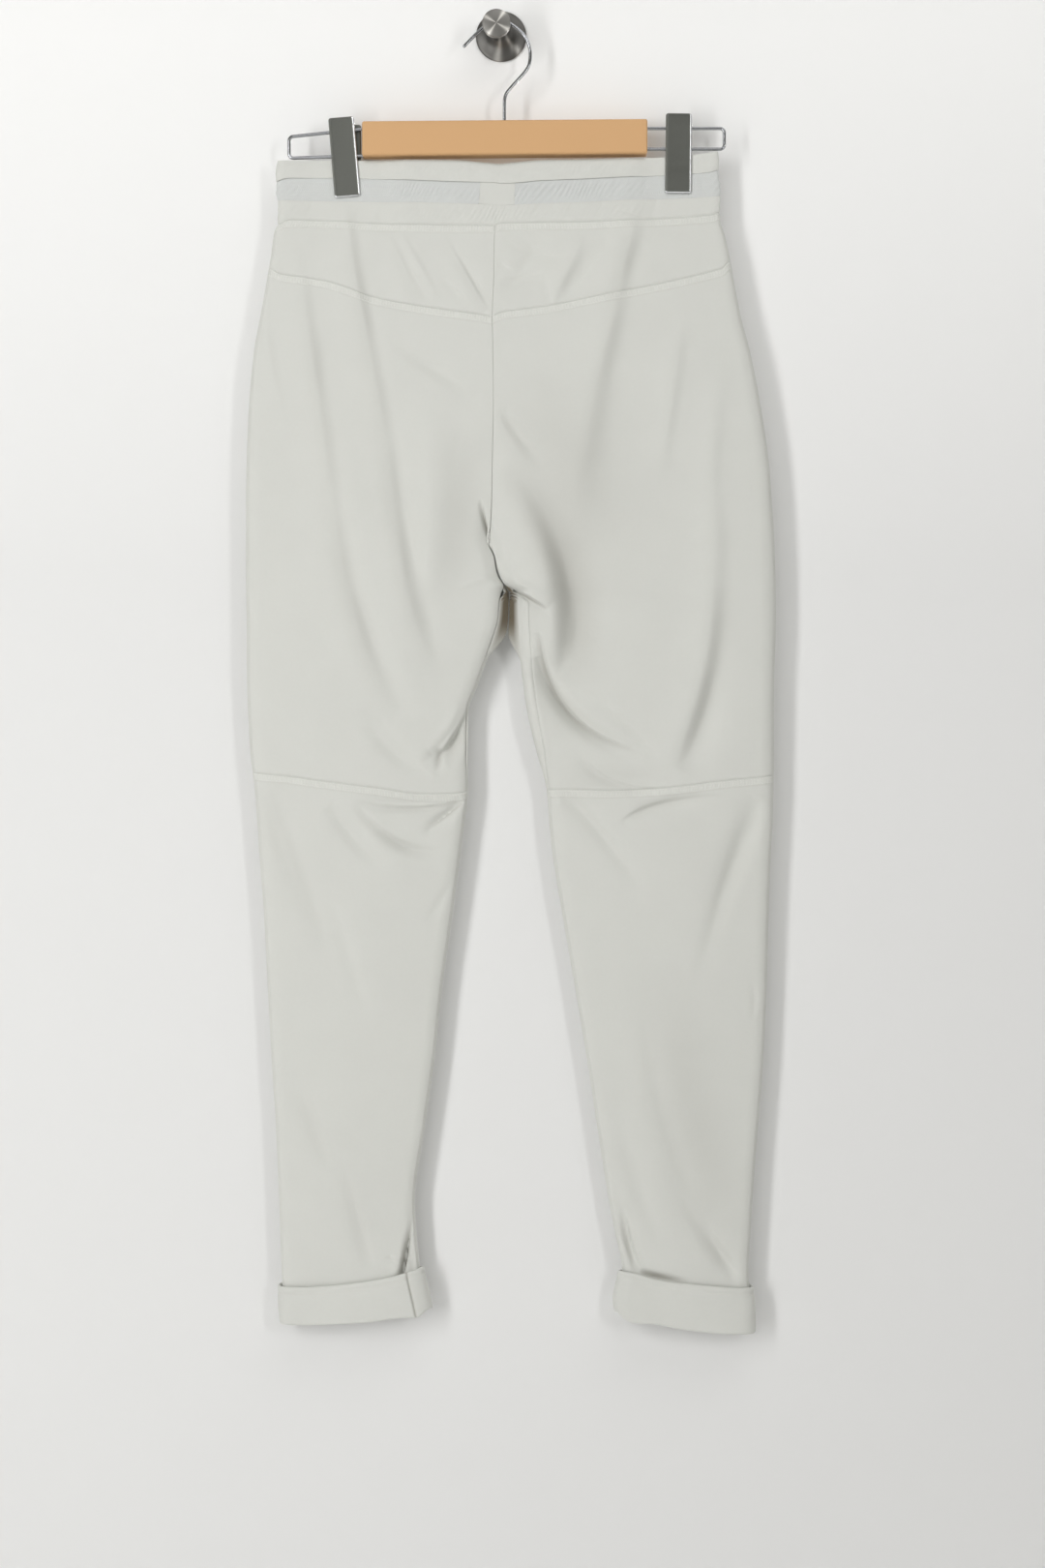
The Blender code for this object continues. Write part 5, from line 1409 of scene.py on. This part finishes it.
class Nodes:
    """Short way to write a material's or group's nodes."""

    def __init__(self, tree):
        self.tree = tree
        self.column = 0

    def add(self, kind, **settings):
        node = self.tree.nodes.new(kind)
        node.location = (220 * self.column, -40 * (self.column % 5))
        self.column += 1
        for name, value in settings.items():
            setattr(node, name, value)
        return node

    def give(self, value, socket):
        """Set a socket to a number or colour, or link another socket to it."""
        if isinstance(value, (int, float, tuple)):
            socket.default_value = value
        else:
            self.tree.links.new(value, socket)

    def made(self, kind, inputs, **settings):
        """Node with its first inputs given in order."""
        node = self.add(kind, **settings)
        for socket, value in zip(node.inputs, inputs):
            self.give(value, socket)
        return node

    def math(self, operation, *values):
        return self.made("ShaderNodeMath", values, operation=operation).outputs[0]

    def times(self, first, second):
        return self.math("MULTIPLY", first, second)

    def plus(self, first, second):
        return self.math("ADD", first, second)

    def limited(self, value):
        """The value kept from 0 to 1."""
        return self.math("MINIMUM", self.math("MAXIMUM", value, 0.0), 1.0)

    def mix(self, share, first, second):
        """Colour part of the way from the first to the second."""
        node = self.add("ShaderNodeMix", data_type="RGBA")
        for place, value in ((0, share), (6, first), (7, second)):
            self.give(value, node.inputs[place])
        return node.outputs[2]

    def noise(self, vector, scale, detail, roughness):
        node = self.add("ShaderNodeTexNoise")
        given = {"Vector": vector, "Scale": scale, "Detail": detail, "Roughness": roughness}
        for name, value in given.items():
            self.give(value, node.inputs[name])
        return node.outputs["Fac"]

    def mapping(self, vector, scale):
        node = self.add("ShaderNodeMapping")
        self.give(vector, node.inputs["Vector"])
        self.give(scale, node.inputs["Scale"])
        return node.outputs["Vector"]

    def split(self, vector):
        """The x, y and z of a vector."""
        return self.made("ShaderNodeSeparateXYZ", [vector]).outputs

    def place(self):
        """Object coordinates, in metres."""
        return self.add("ShaderNodeTexCoord").outputs["Object"]


VECTOR, NUMBER = "NodeSocketVector", "NodeSocketFloat"


def group(name, inputs, outputs):
    """Empty shader node group with its sockets, and its input and output nodes."""
    tree = bpy.data.node_groups.new(name, "ShaderNodeTree")
    for label, kind in inputs:
        tree.interface.new_socket(name=label, in_out="INPUT", socket_type=kind)
    for label in outputs:
        tree.interface.new_socket(name=label, in_out="OUTPUT", socket_type=NUMBER)
    nodes = Nodes(tree)
    return nodes, nodes.add("NodeGroupInput").outputs, nodes.add("NodeGroupOutput").inputs


def knit_group():
    """Knit of cloth, from its UV map in metres.

    Height is the sum of two rounded waves, one for each wale and one for each course, roughened by
    fine noise. Mottle is a slow, low noise for the colour, with fine specks.
    """
    nodes, given, result = group("Knit", [("Vector", VECTOR), ("Wales", NUMBER), ("Courses", NUMBER)],
                                 ["Height", "Mottle"])
    place = given["Vector"]
    across = nodes.split(place)
    waves = []
    for axis, count in (("X", "Wales"), ("Y", "Courses")):
        wave = nodes.math("SINE", nodes.times(across[axis], nodes.times(given[count], math.pi)))
        waves.append(nodes.math("ABSOLUTE", wave))
    wave = nodes.plus(waves[0], nodes.times(waves[1], 0.5))
    fuzz = nodes.noise(place, scale=900.0, detail=4.0, roughness=0.6)
    nodes.give(nodes.plus(wave, nodes.times(fuzz, 0.8)), result["Height"])
    slow = nodes.noise(place, scale=22.0, detail=3.0, roughness=0.55)
    specks = nodes.noise(place, scale=420.0, detail=3.0, roughness=0.6)
    nodes.give(nodes.plus(nodes.times(slow, 0.6), nodes.times(specks, 0.4)), result["Mottle"])
    return nodes.tree


def brushed_group():
    """Fine scratches of brushed or drawn metal from noise, and slow wear."""
    nodes, given, result = group("Brushed", [("Vector", VECTOR)], ["Height", "Wear"])
    place = given["Vector"]
    nodes.give(nodes.noise(place, scale=400.0, detail=3.0, roughness=0.6), result["Height"])
    nodes.give(nodes.noise(place, scale=30.0, detail=3.0, roughness=0.6), result["Wear"])
    return nodes.tree


def painted_highlights_group():
    """Painted highlights for the streaks that circular tool marks throw on a turned face, from place and two
    directions.

    Each streak is a bell of the sine of the angle between the point's direction and the streak's.
    """
    nodes, given, result = group("Rays", [("Vector", VECTOR), ("First", NUMBER), ("Second", NUMBER)],
                                 ["Mask", "Radius"])
    place = nodes.split(given["Vector"])
    x, z = place["X"], place["Z"]
    square = nodes.plus(nodes.times(x, x), nodes.times(z, z))
    radius = nodes.math("MAXIMUM", nodes.math("SQRT", square), TINY_RADIUS)
    bells = []
    for label in ("First", "Second"):
        turn = given[label]
        aside = nodes.math("SUBTRACT", nodes.times(z, nodes.math("COSINE", turn)),
                           nodes.times(x, nodes.math("SINE", turn)))
        share = nodes.math("DIVIDE", nodes.math("DIVIDE", aside, radius), HIGHLIGHT_WIDTH)
        bells.append(nodes.math("EXPONENT", nodes.times(nodes.times(share, share), -1.0)))
    nodes.give(nodes.math("MAXIMUM", *bells), result["Mask"])
    nodes.give(radius, result["Radius"])
    return nodes.tree


GROUPS = {"Knit": knit_group, "Brushed": brushed_group, "Rays": painted_highlights_group}


def place_group(nodes, name, **values):
    """Outputs of a group node with its values given. The group is made on first use."""
    node = nodes.add("ShaderNodeGroup", node_tree=bpy.data.node_groups.get(name) or GROUPS[name]())
    for label, value in values.items():
        nodes.give(value, node.inputs[label])
    return node.outputs


def new_material(name, colour, **settings):
    """Material with its Principled shader's colour and named inputs set, and its nodes."""
    finish = bpy.data.materials.new(name)
    finish.use_nodes = True
    finish.diffuse_color = (*colour, 1.0)
    nodes = Nodes(finish.node_tree)
    shader = finish.node_tree.nodes["Principled BSDF"].inputs
    shader["Base Color"].default_value = (*colour, 1.0)
    for label, value in settings.items():
        shader[label.replace("_", " ")].default_value = value
    return finish, nodes, shader


def scaled(colour, share):
    """Colour made darker or lighter, with its alpha."""
    return tuple(min(value * share, 1.0) for value in colour) + (1.0,)


def add_bump(nodes, shader, height, distance, strength):
    """Bump from a height, on the shader's normal."""
    bump = nodes.add("ShaderNodeBump")
    for label, value in (("Strength", strength), ("Distance", distance), ("Height", height)):
        nodes.give(value, bump.inputs[label])
    nodes.give(bump.outputs["Normal"], shader["Normal"])


def cloth_material(name, colour, look):
    """Knitted cloth: loops from the knit group, slow mottling, paler ticks on coverstitched bands and
    painted shade in a warm brown, in creases, along seams, under the bar and between the legs."""
    finish, nodes, shader = new_material(name, colour, Roughness=0.92, Sheen_Weight=0.12, Sheen_Roughness=0.5,
                                         Specular_IOR_Level=0.25)
    uv = nodes.add("ShaderNodeUVMap", uv_map="cloth").outputs["UV"]
    loops = place_group(nodes, "Knit", Vector=uv, Wales=look.wales, Courses=look.courses)
    tone = nodes.mix(loops["Mottle"], scaled(colour, 0.955), scaled(colour, 1.045))
    band_mask = nodes.add("ShaderNodeAttribute", attribute_name="coverstitch").outputs["Fac"]
    ticks = nodes.math("SINE", nodes.times(nodes.split(uv)["X"], 2 * math.pi / (TICK_PITCH * MM)))
    ticks = nodes.times(nodes.plus(nodes.times(ticks, 0.5), 0.5), band_mask)
    pale = nodes.times(nodes.plus(nodes.times(ticks, 0.5), BAND_PALENESS), band_mask)
    tone = nodes.mix(pale, tone, scaled(colour, 1.07))
    # Painted shade: the mask mixes the cloth towards a warm brown.
    crease = nodes.add("ShaderNodeAttribute", attribute_name="crease").outputs["Fac"]
    nodes.give(nodes.mix(crease, tone, PAINTED_SHADE_COLOUR), shader["Base Color"])
    add_bump(nodes, shader, nodes.plus(loops["Height"], nodes.times(ticks, TICK_HEIGHT)), look.depth, 0.6)
    return finish


def wood_material(colour):
    """Pale varnished wood: level grain from stretched noise, with short darker flecks."""
    finish, nodes, shader = new_material("wood", colour, Roughness=0.42, Coat_Weight=0.25,
                                         Coat_Roughness=0.25)
    place = nodes.place()
    grain = nodes.noise(nodes.mapping(place, (1.2, 32.0, 32.0)), scale=7.0, detail=5.0, roughness=0.7)
    grain = nodes.plus(nodes.times(nodes.math("SUBTRACT", grain, 0.5), GRAIN_CONTRAST), 0.5)
    grain = nodes.limited(grain)
    flecks = nodes.noise(nodes.mapping(place, (50.0, 110.0, 120.0)), scale=6.0, detail=2.0, roughness=0.5)
    fleck_mask = nodes.times(nodes.math("GREATER_THAN", flecks, FLECKS_FROM), 0.30)
    slow = nodes.noise(nodes.mapping(place, (2.0, 10.0, 14.0)), scale=3.0, detail=2.0, roughness=0.5)
    tone = nodes.mix(grain, scaled(colour, 0.66), scaled(colour, 1.10))
    tone = nodes.mix(nodes.times(slow, 0.35), tone, scaled(colour, 0.9))
    nodes.give(nodes.mix(fleck_mask, tone, scaled(colour, 0.7)), shader["Base Color"])
    add_bump(nodes, shader, grain, distance=0.0002, strength=0.3)
    return finish


def metal_material(name, colour, look):
    """Metal with fine scratches in its bump and a little wear in its roughness."""
    finish, nodes, shader = new_material(name, colour, Metallic=1.0, Roughness=look.roughness)
    lines = place_group(nodes, "Brushed", Vector=nodes.mapping(nodes.place(), look.stretch))
    nodes.give(nodes.plus(nodes.times(lines["Wear"], look.wear), look.roughness - look.wear / 2),
               shader["Roughness"])
    nodes.give(nodes.mix(lines["Height"], scaled(colour, 0.9), scaled(colour, 1.08)), shader["Base Color"])
    add_bump(nodes, shader, lines["Height"], distance=0.00002, strength=0.25)
    return finish


def knob_material(colour):
    """Turned steel: rings of fine tool marks round the knob's axis, and painted highlights for the streaks
    they throw.
    """
    finish, nodes, shader = new_material("turned_steel", colour, Metallic=1.0, Roughness=0.4)
    place = nodes.place()
    out = nodes.split(place)["Y"]
    on_disc = nodes.math("LESS_THAN", out, -DISC_STARTS * MM)
    shift = nodes.made("ShaderNodeCombineXYZ", [nodes.times(on_disc, -KNOB_SAG[0] * MM), 0.0,
                                                nodes.times(on_disc, -KNOB_SAG[1] * MM)]).outputs[0]
    centred = nodes.made("ShaderNodeVectorMath", [place, shift], operation="ADD").outputs[0]
    turns = []
    for disc, flange in zip(DISC_HIGHLIGHTS, FLANGE_HIGHLIGHTS):
        step = nodes.times(on_disc, math.radians(disc - flange))
        turns.append(nodes.plus(step, math.radians(flange)))
    rays = place_group(nodes, "Rays", Vector=centred, First=turns[0], Second=turns[1])
    together = nodes.made("ShaderNodeCombineXYZ", [rays["Radius"], out]).outputs[0]
    marks = nodes.noise(together, scale=5400.0, detail=3.0, roughness=0.6)
    # Painted highlights: along the streaks the colour goes from a darker base to a brighter one, both darker
    # on the flange than on the disc.
    dark = nodes.mix(on_disc, scaled(colour, 0.30), scaled(colour, 0.66))
    bright = nodes.mix(on_disc, scaled(colour, 1.3), scaled(colour, 2.3))
    streaks = nodes.mix(rays["Mask"], dark, bright)
    nodes.give(nodes.mix(nodes.times(marks, 0.4), streaks, scaled(colour, 0.5)), shader["Base Color"])
    wear = place_group(nodes, "Brushed", Vector=place)["Wear"]
    nodes.give(nodes.plus(nodes.times(wear, 0.12), 0.38), shader["Roughness"])
    add_bump(nodes, shader, marks, distance=0.00003, strength=0.5)
    return finish


def thread_material(colour):
    """Sewing thread: plain, with fine noise for its fibres."""
    finish, nodes, shader = new_material("thread", colour, Roughness=0.75, Sheen_Weight=0.1)
    fibres = nodes.noise(nodes.place(), scale=2500.0, detail=2.0, roughness=0.5)
    nodes.give(nodes.mix(fibres, scaled(colour, 0.94), scaled(colour, 1.05)), shader["Base Color"])
    add_bump(nodes, shader, fibres, distance=0.00005, strength=0.5)
    return finish


def plain_material(name, colour, roughness):
    """Painted wall or floor: very fine and low plaster grain."""
    finish, nodes, shader = new_material(name, colour, Roughness=roughness, Specular_IOR_Level=0.1)
    place = nodes.place()
    slow = nodes.noise(place, scale=2.5, detail=3.0, roughness=0.5)
    nodes.give(nodes.mix(slow, scaled(colour, 0.985), scaled(colour, 1.01)), shader["Base Color"])
    grain = nodes.noise(place, scale=180.0, detail=4.0, roughness=0.6)
    add_bump(nodes, shader, grain, distance=0.0003, strength=0.08)
    return finish, nodes, shader


def wall_material(colour):
    """Wall paint that shows from the front only, so that views from behind see the garment.

    Painted light brightens it towards the top. Shadow rays pass it too, which lets the light behind the wall
    reach the hidden side.
    """
    finish, nodes, shader = plain_material("wall_paint", colour, 0.9)
    z = nodes.split(nodes.place())["Z"]
    # Painted light: the paint is made brighter towards the top.
    high = nodes.limited(nodes.math("DIVIDE", nodes.math("SUBTRACT", z, WALL_PAINTED_LIGHT_END), WALL_PAINTED_LIGHT_LENGTH))
    nodes.give(nodes.mix(high, scaled(colour, 0.935), scaled(colour, 1.09)), shader["Base Color"])
    clear = nodes.add("ShaderNodeBsdfTransparent").outputs[0]
    behind = nodes.add("ShaderNodeNewGeometry").outputs["Backfacing"]
    shadow = nodes.add("ShaderNodeLightPath").outputs["Is Shadow Ray"]
    paint = finish.node_tree.nodes["Principled BSDF"].outputs[0]
    mix = nodes.made("ShaderNodeMixShader", [nodes.math("MAXIMUM", behind, shadow), paint, clear])
    nodes.give(mix.outputs[0], finish.node_tree.nodes["Material Output"].inputs["Surface"])
    return finish


def finish_named(name):
    """Material made on first use from the colours of the panel."""
    found = bpy.data.materials.get(name)
    if found is not None:
        return found
    cloth = bpy.context.scene.sweatpants_cloth
    hanger = bpy.context.scene.sweatpants_hanger
    if name in KNITS:
        return cloth_material(name, tuple(getattr(cloth, KNITS[name].colour)), KNITS[name])
    if name in METALS:
        return metal_material(name, tuple(getattr(hanger, METALS[name].colour)), METALS[name])
    if name == "thread":
        return thread_material(tuple(cloth.thread_colour))
    if name == "wood":
        return wood_material(tuple(hanger.wood))
    if name == "turned_steel":
        return knob_material(tuple(hanger.knob))
    raise RuntimeError(f"no finish is called {name}")


def length_size(name, description, default, low, high):
    """Property for a length in metres."""
    return FloatProperty(name=name, description=description, default=default, min=low, max=high,
                         unit="LENGTH")


def colour_of(name, description, default):
    """Property for a colour."""
    return FloatVectorProperty(name=name, description=description, subtype="COLOR", size=3, min=0.0, max=1.0,
                               default=default)


def strength(name, description, default):
    """Property for how strong a light is."""
    return FloatProperty(name=name, description=description, default=default, min=0.0)


class SweatpantsCloth(PropertyGroup):
    """Sizes and colours of the cloth and its sewing."""

    wall: length_size("Cloth thickness", "Thickness of the jersey", 0.0014, 0.0005, 0.003)
    seam_dip: length_size("Seam dip", "How far the cloth dips into a seam", 0.00045, 0.0, 0.002)
    seam_reach: length_size("Seam reach", "How far from the seam the dip is felt", 0.0008, 0.0002, 0.003)
    band_height: length_size("Coverstitch height", "How far a coverstitched band stands proud",
                             0.00013, 0.0, 0.001)
    stitch_pitch: length_size("Stitch pitch", "Distance from one stitch to the next", 0.0023, 0.001, 0.005)
    stitch_length: length_size("Stitch length", "Length of each stitch", 0.0018, 0.0005, 0.004)
    thread: length_size("Thread", "Thickness of the sewing thread", 0.0005, 0.0002, 0.001)
    jersey: colour_of("Jersey", "Colour of the jersey", (0.66, 0.665, 0.63))
    rib: colour_of("Rib", "Colour of the stretch rib", (0.645, 0.66, 0.648))
    thread_colour: colour_of("Thread colour", "Colour of the sewing thread", (0.74, 0.745, 0.71))


class SweatpantsHanger(PropertyGroup):
    """Sizes and colours of the hanger and the wall knob."""

    wire_radius: length_size("Wire radius", "Radius of the hook's and the rails' wire", 0.0014, 0.0005, 0.003)
    wood: colour_of("Wood", "Colour of the bar", (0.64, 0.38, 0.18))
    wire: colour_of("Wire", "Colour of the chromed wire", (0.42, 0.43, 0.45))
    clip: colour_of("Clips", "Colour of the clips' steel", (0.17, 0.175, 0.16))
    # Brighter metal of the clips' rims, used only on their lit right sides and feet as a painted highlight.
    edge: colour_of("Clip edges", "Colour of the clips' bright rolled edges", (0.62, 0.63, 0.64))
    knob: colour_of("Knob", "Colour of the turned knob", (0.36, 0.35, 0.33))


class SweatpantsStage(PropertyGroup):
    """Camera, lights, wall and floor."""

    camera: FloatVectorProperty(name="Camera", description="Where the camera stands", subtype="XYZ",
                                size=3, unit="LENGTH", default=(0.0179, -1.833, -0.6268))
    lens: FloatProperty(name="Lens", description="Focal length in millimetres", default=50.16, min=10.0,
                        max=200.0)
    key_power: strength("Left strip", "Power of the left strip light in watts", 20.5)
    second_power: strength("Right strip", "Power of the right strip light in watts", 9.0)
    back_power: strength("Back light", "Power of the light behind the wall in watts", 10.0)
    top_power: strength("Top light", "Power of the wide light above in watts", 10.5)
    soft_power: strength("Soft light", "Power of the large soft light on the left in watts", 8.5)
    room_light: strength("Room light", "Strength of the even light of the room", 0.168)
    room_colour: colour_of("Room colour", "Colour of the even light of the room", (1.0, 0.975, 0.87))
    wall: colour_of("Wall", "Colour of the wall paint", (0.84, 0.84, 0.835))
    floor_drop: length_size("Floor", "How far the floor lies below the knob", 1.45, 1.2, 3.0)


def stitching(name, half, seam, first, last):
    """Piece that holds the two rows of stitches under a panel's upper seam."""
    rows = [stitch_row(half, seam, first, last, below) for below in STITCH_ROWS]
    return piece(f"stitches_{name}", stitch_mesh(f"stitches_{name}", rows), "thread", [])


class OBJECT_OT_sweatpants_waistband(Operator):
    """Add the waistband: top band, rib stripe, lower band and the plain piece at the centre back"""

    bl_idname = "object.sweatpants_waistband"
    bl_label = "Waistband"

    def execute(self, context):
        for half in HALVES:
            for shape in BANDS:
                back_end, finish = 1.0, "jersey_cloth"
                if shape.slot == "rib":
                    back_end, finish = way_at(half, RIB_ENDS[half]) - RIB_END_TURN_GAP, "rib_cloth"
                name = f"{shape.name}_{half}"
                piece(name, band(shape, half, back_end), finish, [name])
        name = "waist_back_piece"
        piece(name, back_piece(), "jersey_cloth", [name])
        return {"FINISHED"}


class OBJECT_OT_sweatpants_back(Operator):
    """Add the back of both legs: yokes, thighs and calves, with their coverstitching"""

    bl_idname = "object.sweatpants_back"
    bl_label = "Back panels"

    def execute(self, context):
        panels = (("yoke", YOKE_COLUMNS, YOKE_ROWS, 1 - TINY_TURN),
                  ("back_thigh", THIGH_COLUMNS, THIGH_ROWS, 1 - TINY_TURN),
                  ("back_calf", CALF_COLUMNS, CALF_ROWS, INSEAM_TURN))
        for half in HALVES:
            seams = seams_down(half)
            for (kind, columns, rows, last), top, bottom in zip(panels, seams, seams[1:]):
                name = f"{kind}_{half}"
                mesh = back_panel(name, half, top, bottom, columns, rows)
                thing = piece(name, mesh, "jersey_cloth", [name])
                first = OUTSEAM_TURN + BACK_STITCH_GAPS[0]
                stitching(name, half, top, first, last - BACK_STITCH_GAPS[1])
        return {"FINISHED"}


class OBJECT_OT_sweatpants_front(Operator):
    """Add the front of both legs, each one panel from the waistband to the hem"""

    bl_idname = "object.sweatpants_front"
    bl_label = "Front panels"

    def execute(self, context):
        for half in HALVES:
            name = f"front_{half}"
            nodes = [f"front_{place}_{half}" for place in ("hip", "thigh", "calf")]
            thing = piece(name, front_panel(name, half), "jersey_cloth", nodes)

            def waist(turn, half=half):
                return seam_drop(half, "waist", turn)

            stitching(name, half, waist, *FRONT_STITCH_TURNS)
        return {"FINISHED"}


class OBJECT_OT_sweatpants_cuffs(Operator):
    """Add the turned-up cuffs"""

    bl_idname = "object.sweatpants_cuffs"
    bl_label = "Cuffs"

    def execute(self, context):
        for half in HALVES:
            name = f"cuff_{half}"
            piece(name, cuff(name, half), "jersey_cloth", [name])
        return {"FINISHED"}


class OBJECT_OT_sweatpants_hanger(Operator):
    """Add the hanger: wooden bar, wire rails, hook and clips"""

    bl_idname = "object.sweatpants_hanger"
    bl_label = "Hanger"

    def execute(self, context):
        radius = context.scene.sweatpants_hanger.wire_radius / MM
        piece("hanger_bar", bar_mesh(), "wood", ["hanger_bar"])
        for shape in RAILS:
            wire = tube(shape.name, rail_path(shape), radius, RAIL_SIDES)
            piece(shape.name, wire, "bright_wire", [shape.name])
        route = smooth_route(HOOK_ROUTE, HOOK_STEPS)
        path = np.stack([route[:, 0], np.full(len(route), HANGER_Y), -route[:, 1]], axis=-1)
        wire = tube("hook_wire", path, radius, HOOK_SIDES, tips=True)
        piece("hook_wire", wire, "bright_wire", ["hook_wire"])
        for shape in CLIP_FACES:
            plate = plate_mesh(shape, CLIP_FACE_RINGS)
            painted_highlight_rim(piece(shape.name, plate, "clip_plate", [shape.name]))
        for shape in CLIP_JAWS:
            piece(shape.name, plate_mesh(shape, CLIP_JAW_RINGS), "clip_plate", [shape.name])
        return {"FINISHED"}


class OBJECT_OT_sweatpants_knob(Operator):
    """Add the turned steel wall knob"""

    bl_idname = "object.sweatpants_knob"
    bl_label = "Wall knob"

    def execute(self, context):
        piece("wall_knob", knob_mesh(), "turned_steel", ["wall_knob"])
        return {"FINISHED"}


def add_light(shape, power):
    """Rectangular light at a place, turned to face a point."""
    lamp = bpy.data.lights.new(shape.name, "AREA")
    lamp.shape = "RECTANGLE"
    lamp.size, lamp.size_y = shape.size
    lamp.energy = power
    thing = bpy.data.objects.new(shape.name, lamp)
    bpy.context.scene.collection.objects.link(thing)
    thing.location = shape.place
    run = np.array(shape.aim) - np.array(shape.place)
    run = run / np.linalg.norm(run)
    thing.rotation_euler = (math.acos(-run[2]), 0.0, math.atan2(run[1], run[0]) - math.pi / 2)
    return lamp


def plane(name, corners, finish):
    """One flat face on the stage."""
    mesh = bpy.data.meshes.new(name)
    mesh.from_pydata(corners, [], [(0, 1, 2, 3)])
    mesh.materials.append(finish)
    thing = bpy.data.objects.new(name, mesh)
    bpy.context.scene.collection.objects.link(thing)


class SCENE_OT_sweatpants_stage(Operator):
    """Add the wall, the floor, the soft lights and the camera"""

    bl_idname = "scene.sweatpants_stage"
    bl_label = "Stage"

    def execute(self, context):
        scene, sizes = context.scene, context.scene.sweatpants_stage
        far, low = STAGE_REACH, -sizes.floor_drop
        plane("wall", [(-far, WALL_Y, low), (far, WALL_Y, low), (far, WALL_Y, WALL_TOP),
                       (-far, WALL_Y, WALL_TOP)], wall_material(tuple(sizes.wall)))
        plane("floor", [(-far, -far, low), (far, -far, low), (far, far, low), (-far, far, low)],
              plain_material("floor_paint", tuple(sizes.wall), 0.8)[0])
        lamps = {shape.name: add_light(shape, getattr(sizes, shape.power)) for shape in LIGHTS}
        lamps["back_light"].cycles.use_multiple_importance_sampling = False
        world = scene.world or bpy.data.worlds.new("room")
        scene.world = world
        world.use_nodes = True
        background = world.node_tree.nodes["Background"]
        background.inputs["Color"].default_value = (*sizes.room_colour, 1.0)
        background.inputs["Strength"].default_value = sizes.room_light
        world.cycles.sampling_method = "NONE"
        scene.view_settings.view_transform = "Standard"
        data = bpy.data.cameras.new("camera")
        data.lens = sizes.lens
        data.sensor_width = FILM_WIDTH
        camera = bpy.data.objects.new("camera", data)
        scene.collection.objects.link(camera)
        camera.location = sizes.camera
        camera.rotation_euler = (math.pi / 2, 0.0, 0.0)
        scene.camera = camera
        return {"FINISHED"}


STEPS = (
    OBJECT_OT_sweatpants_waistband,
    OBJECT_OT_sweatpants_back,
    OBJECT_OT_sweatpants_front,
    OBJECT_OT_sweatpants_cuffs,
    OBJECT_OT_sweatpants_hanger,
    OBJECT_OT_sweatpants_knob,
    SCENE_OT_sweatpants_stage,
)


class VIEW3D_PT_sweatpants(Panel):
    """Sidebar panel that lists the steps and their sizes"""

    bl_idname = "VIEW3D_PT_sweatpants"
    bl_label = "Sweatpants"
    bl_space_type = "VIEW_3D"
    bl_region_type = "UI"
    bl_category = "Sweatpants"

    def draw(self, context):
        for step in STEPS:
            self.layout.operator(step.bl_idname)
        for sizes in (context.scene.sweatpants_cloth, context.scene.sweatpants_hanger,
                      context.scene.sweatpants_stage):
            box = self.layout.box()
            for name in sizes.__annotations__:
                box.prop(sizes, name)


CLASSES = (SweatpantsCloth, SweatpantsHanger, SweatpantsStage, *STEPS, VIEW3D_PT_sweatpants)


def register():
    for kind in CLASSES:
        bpy.utils.register_class(kind)
    bpy.types.Scene.sweatpants_cloth = PointerProperty(type=SweatpantsCloth)
    bpy.types.Scene.sweatpants_hanger = PointerProperty(type=SweatpantsHanger)
    bpy.types.Scene.sweatpants_stage = PointerProperty(type=SweatpantsStage)


def unregister():
    del bpy.types.Scene.sweatpants_stage
    del bpy.types.Scene.sweatpants_hanger
    del bpy.types.Scene.sweatpants_cloth
    for kind in reversed(CLASSES):
        bpy.utils.unregister_class(kind)


def main():
    """Build everything in order."""
    register()
    bpy.ops.object.sweatpants_waistband()
    bpy.ops.object.sweatpants_back()
    bpy.ops.object.sweatpants_front()
    bpy.ops.object.sweatpants_cuffs()
    bpy.ops.object.sweatpants_hanger()
    bpy.ops.object.sweatpants_knob()
    bpy.ops.scene.sweatpants_stage()


if __name__ == "__main__":
    main()
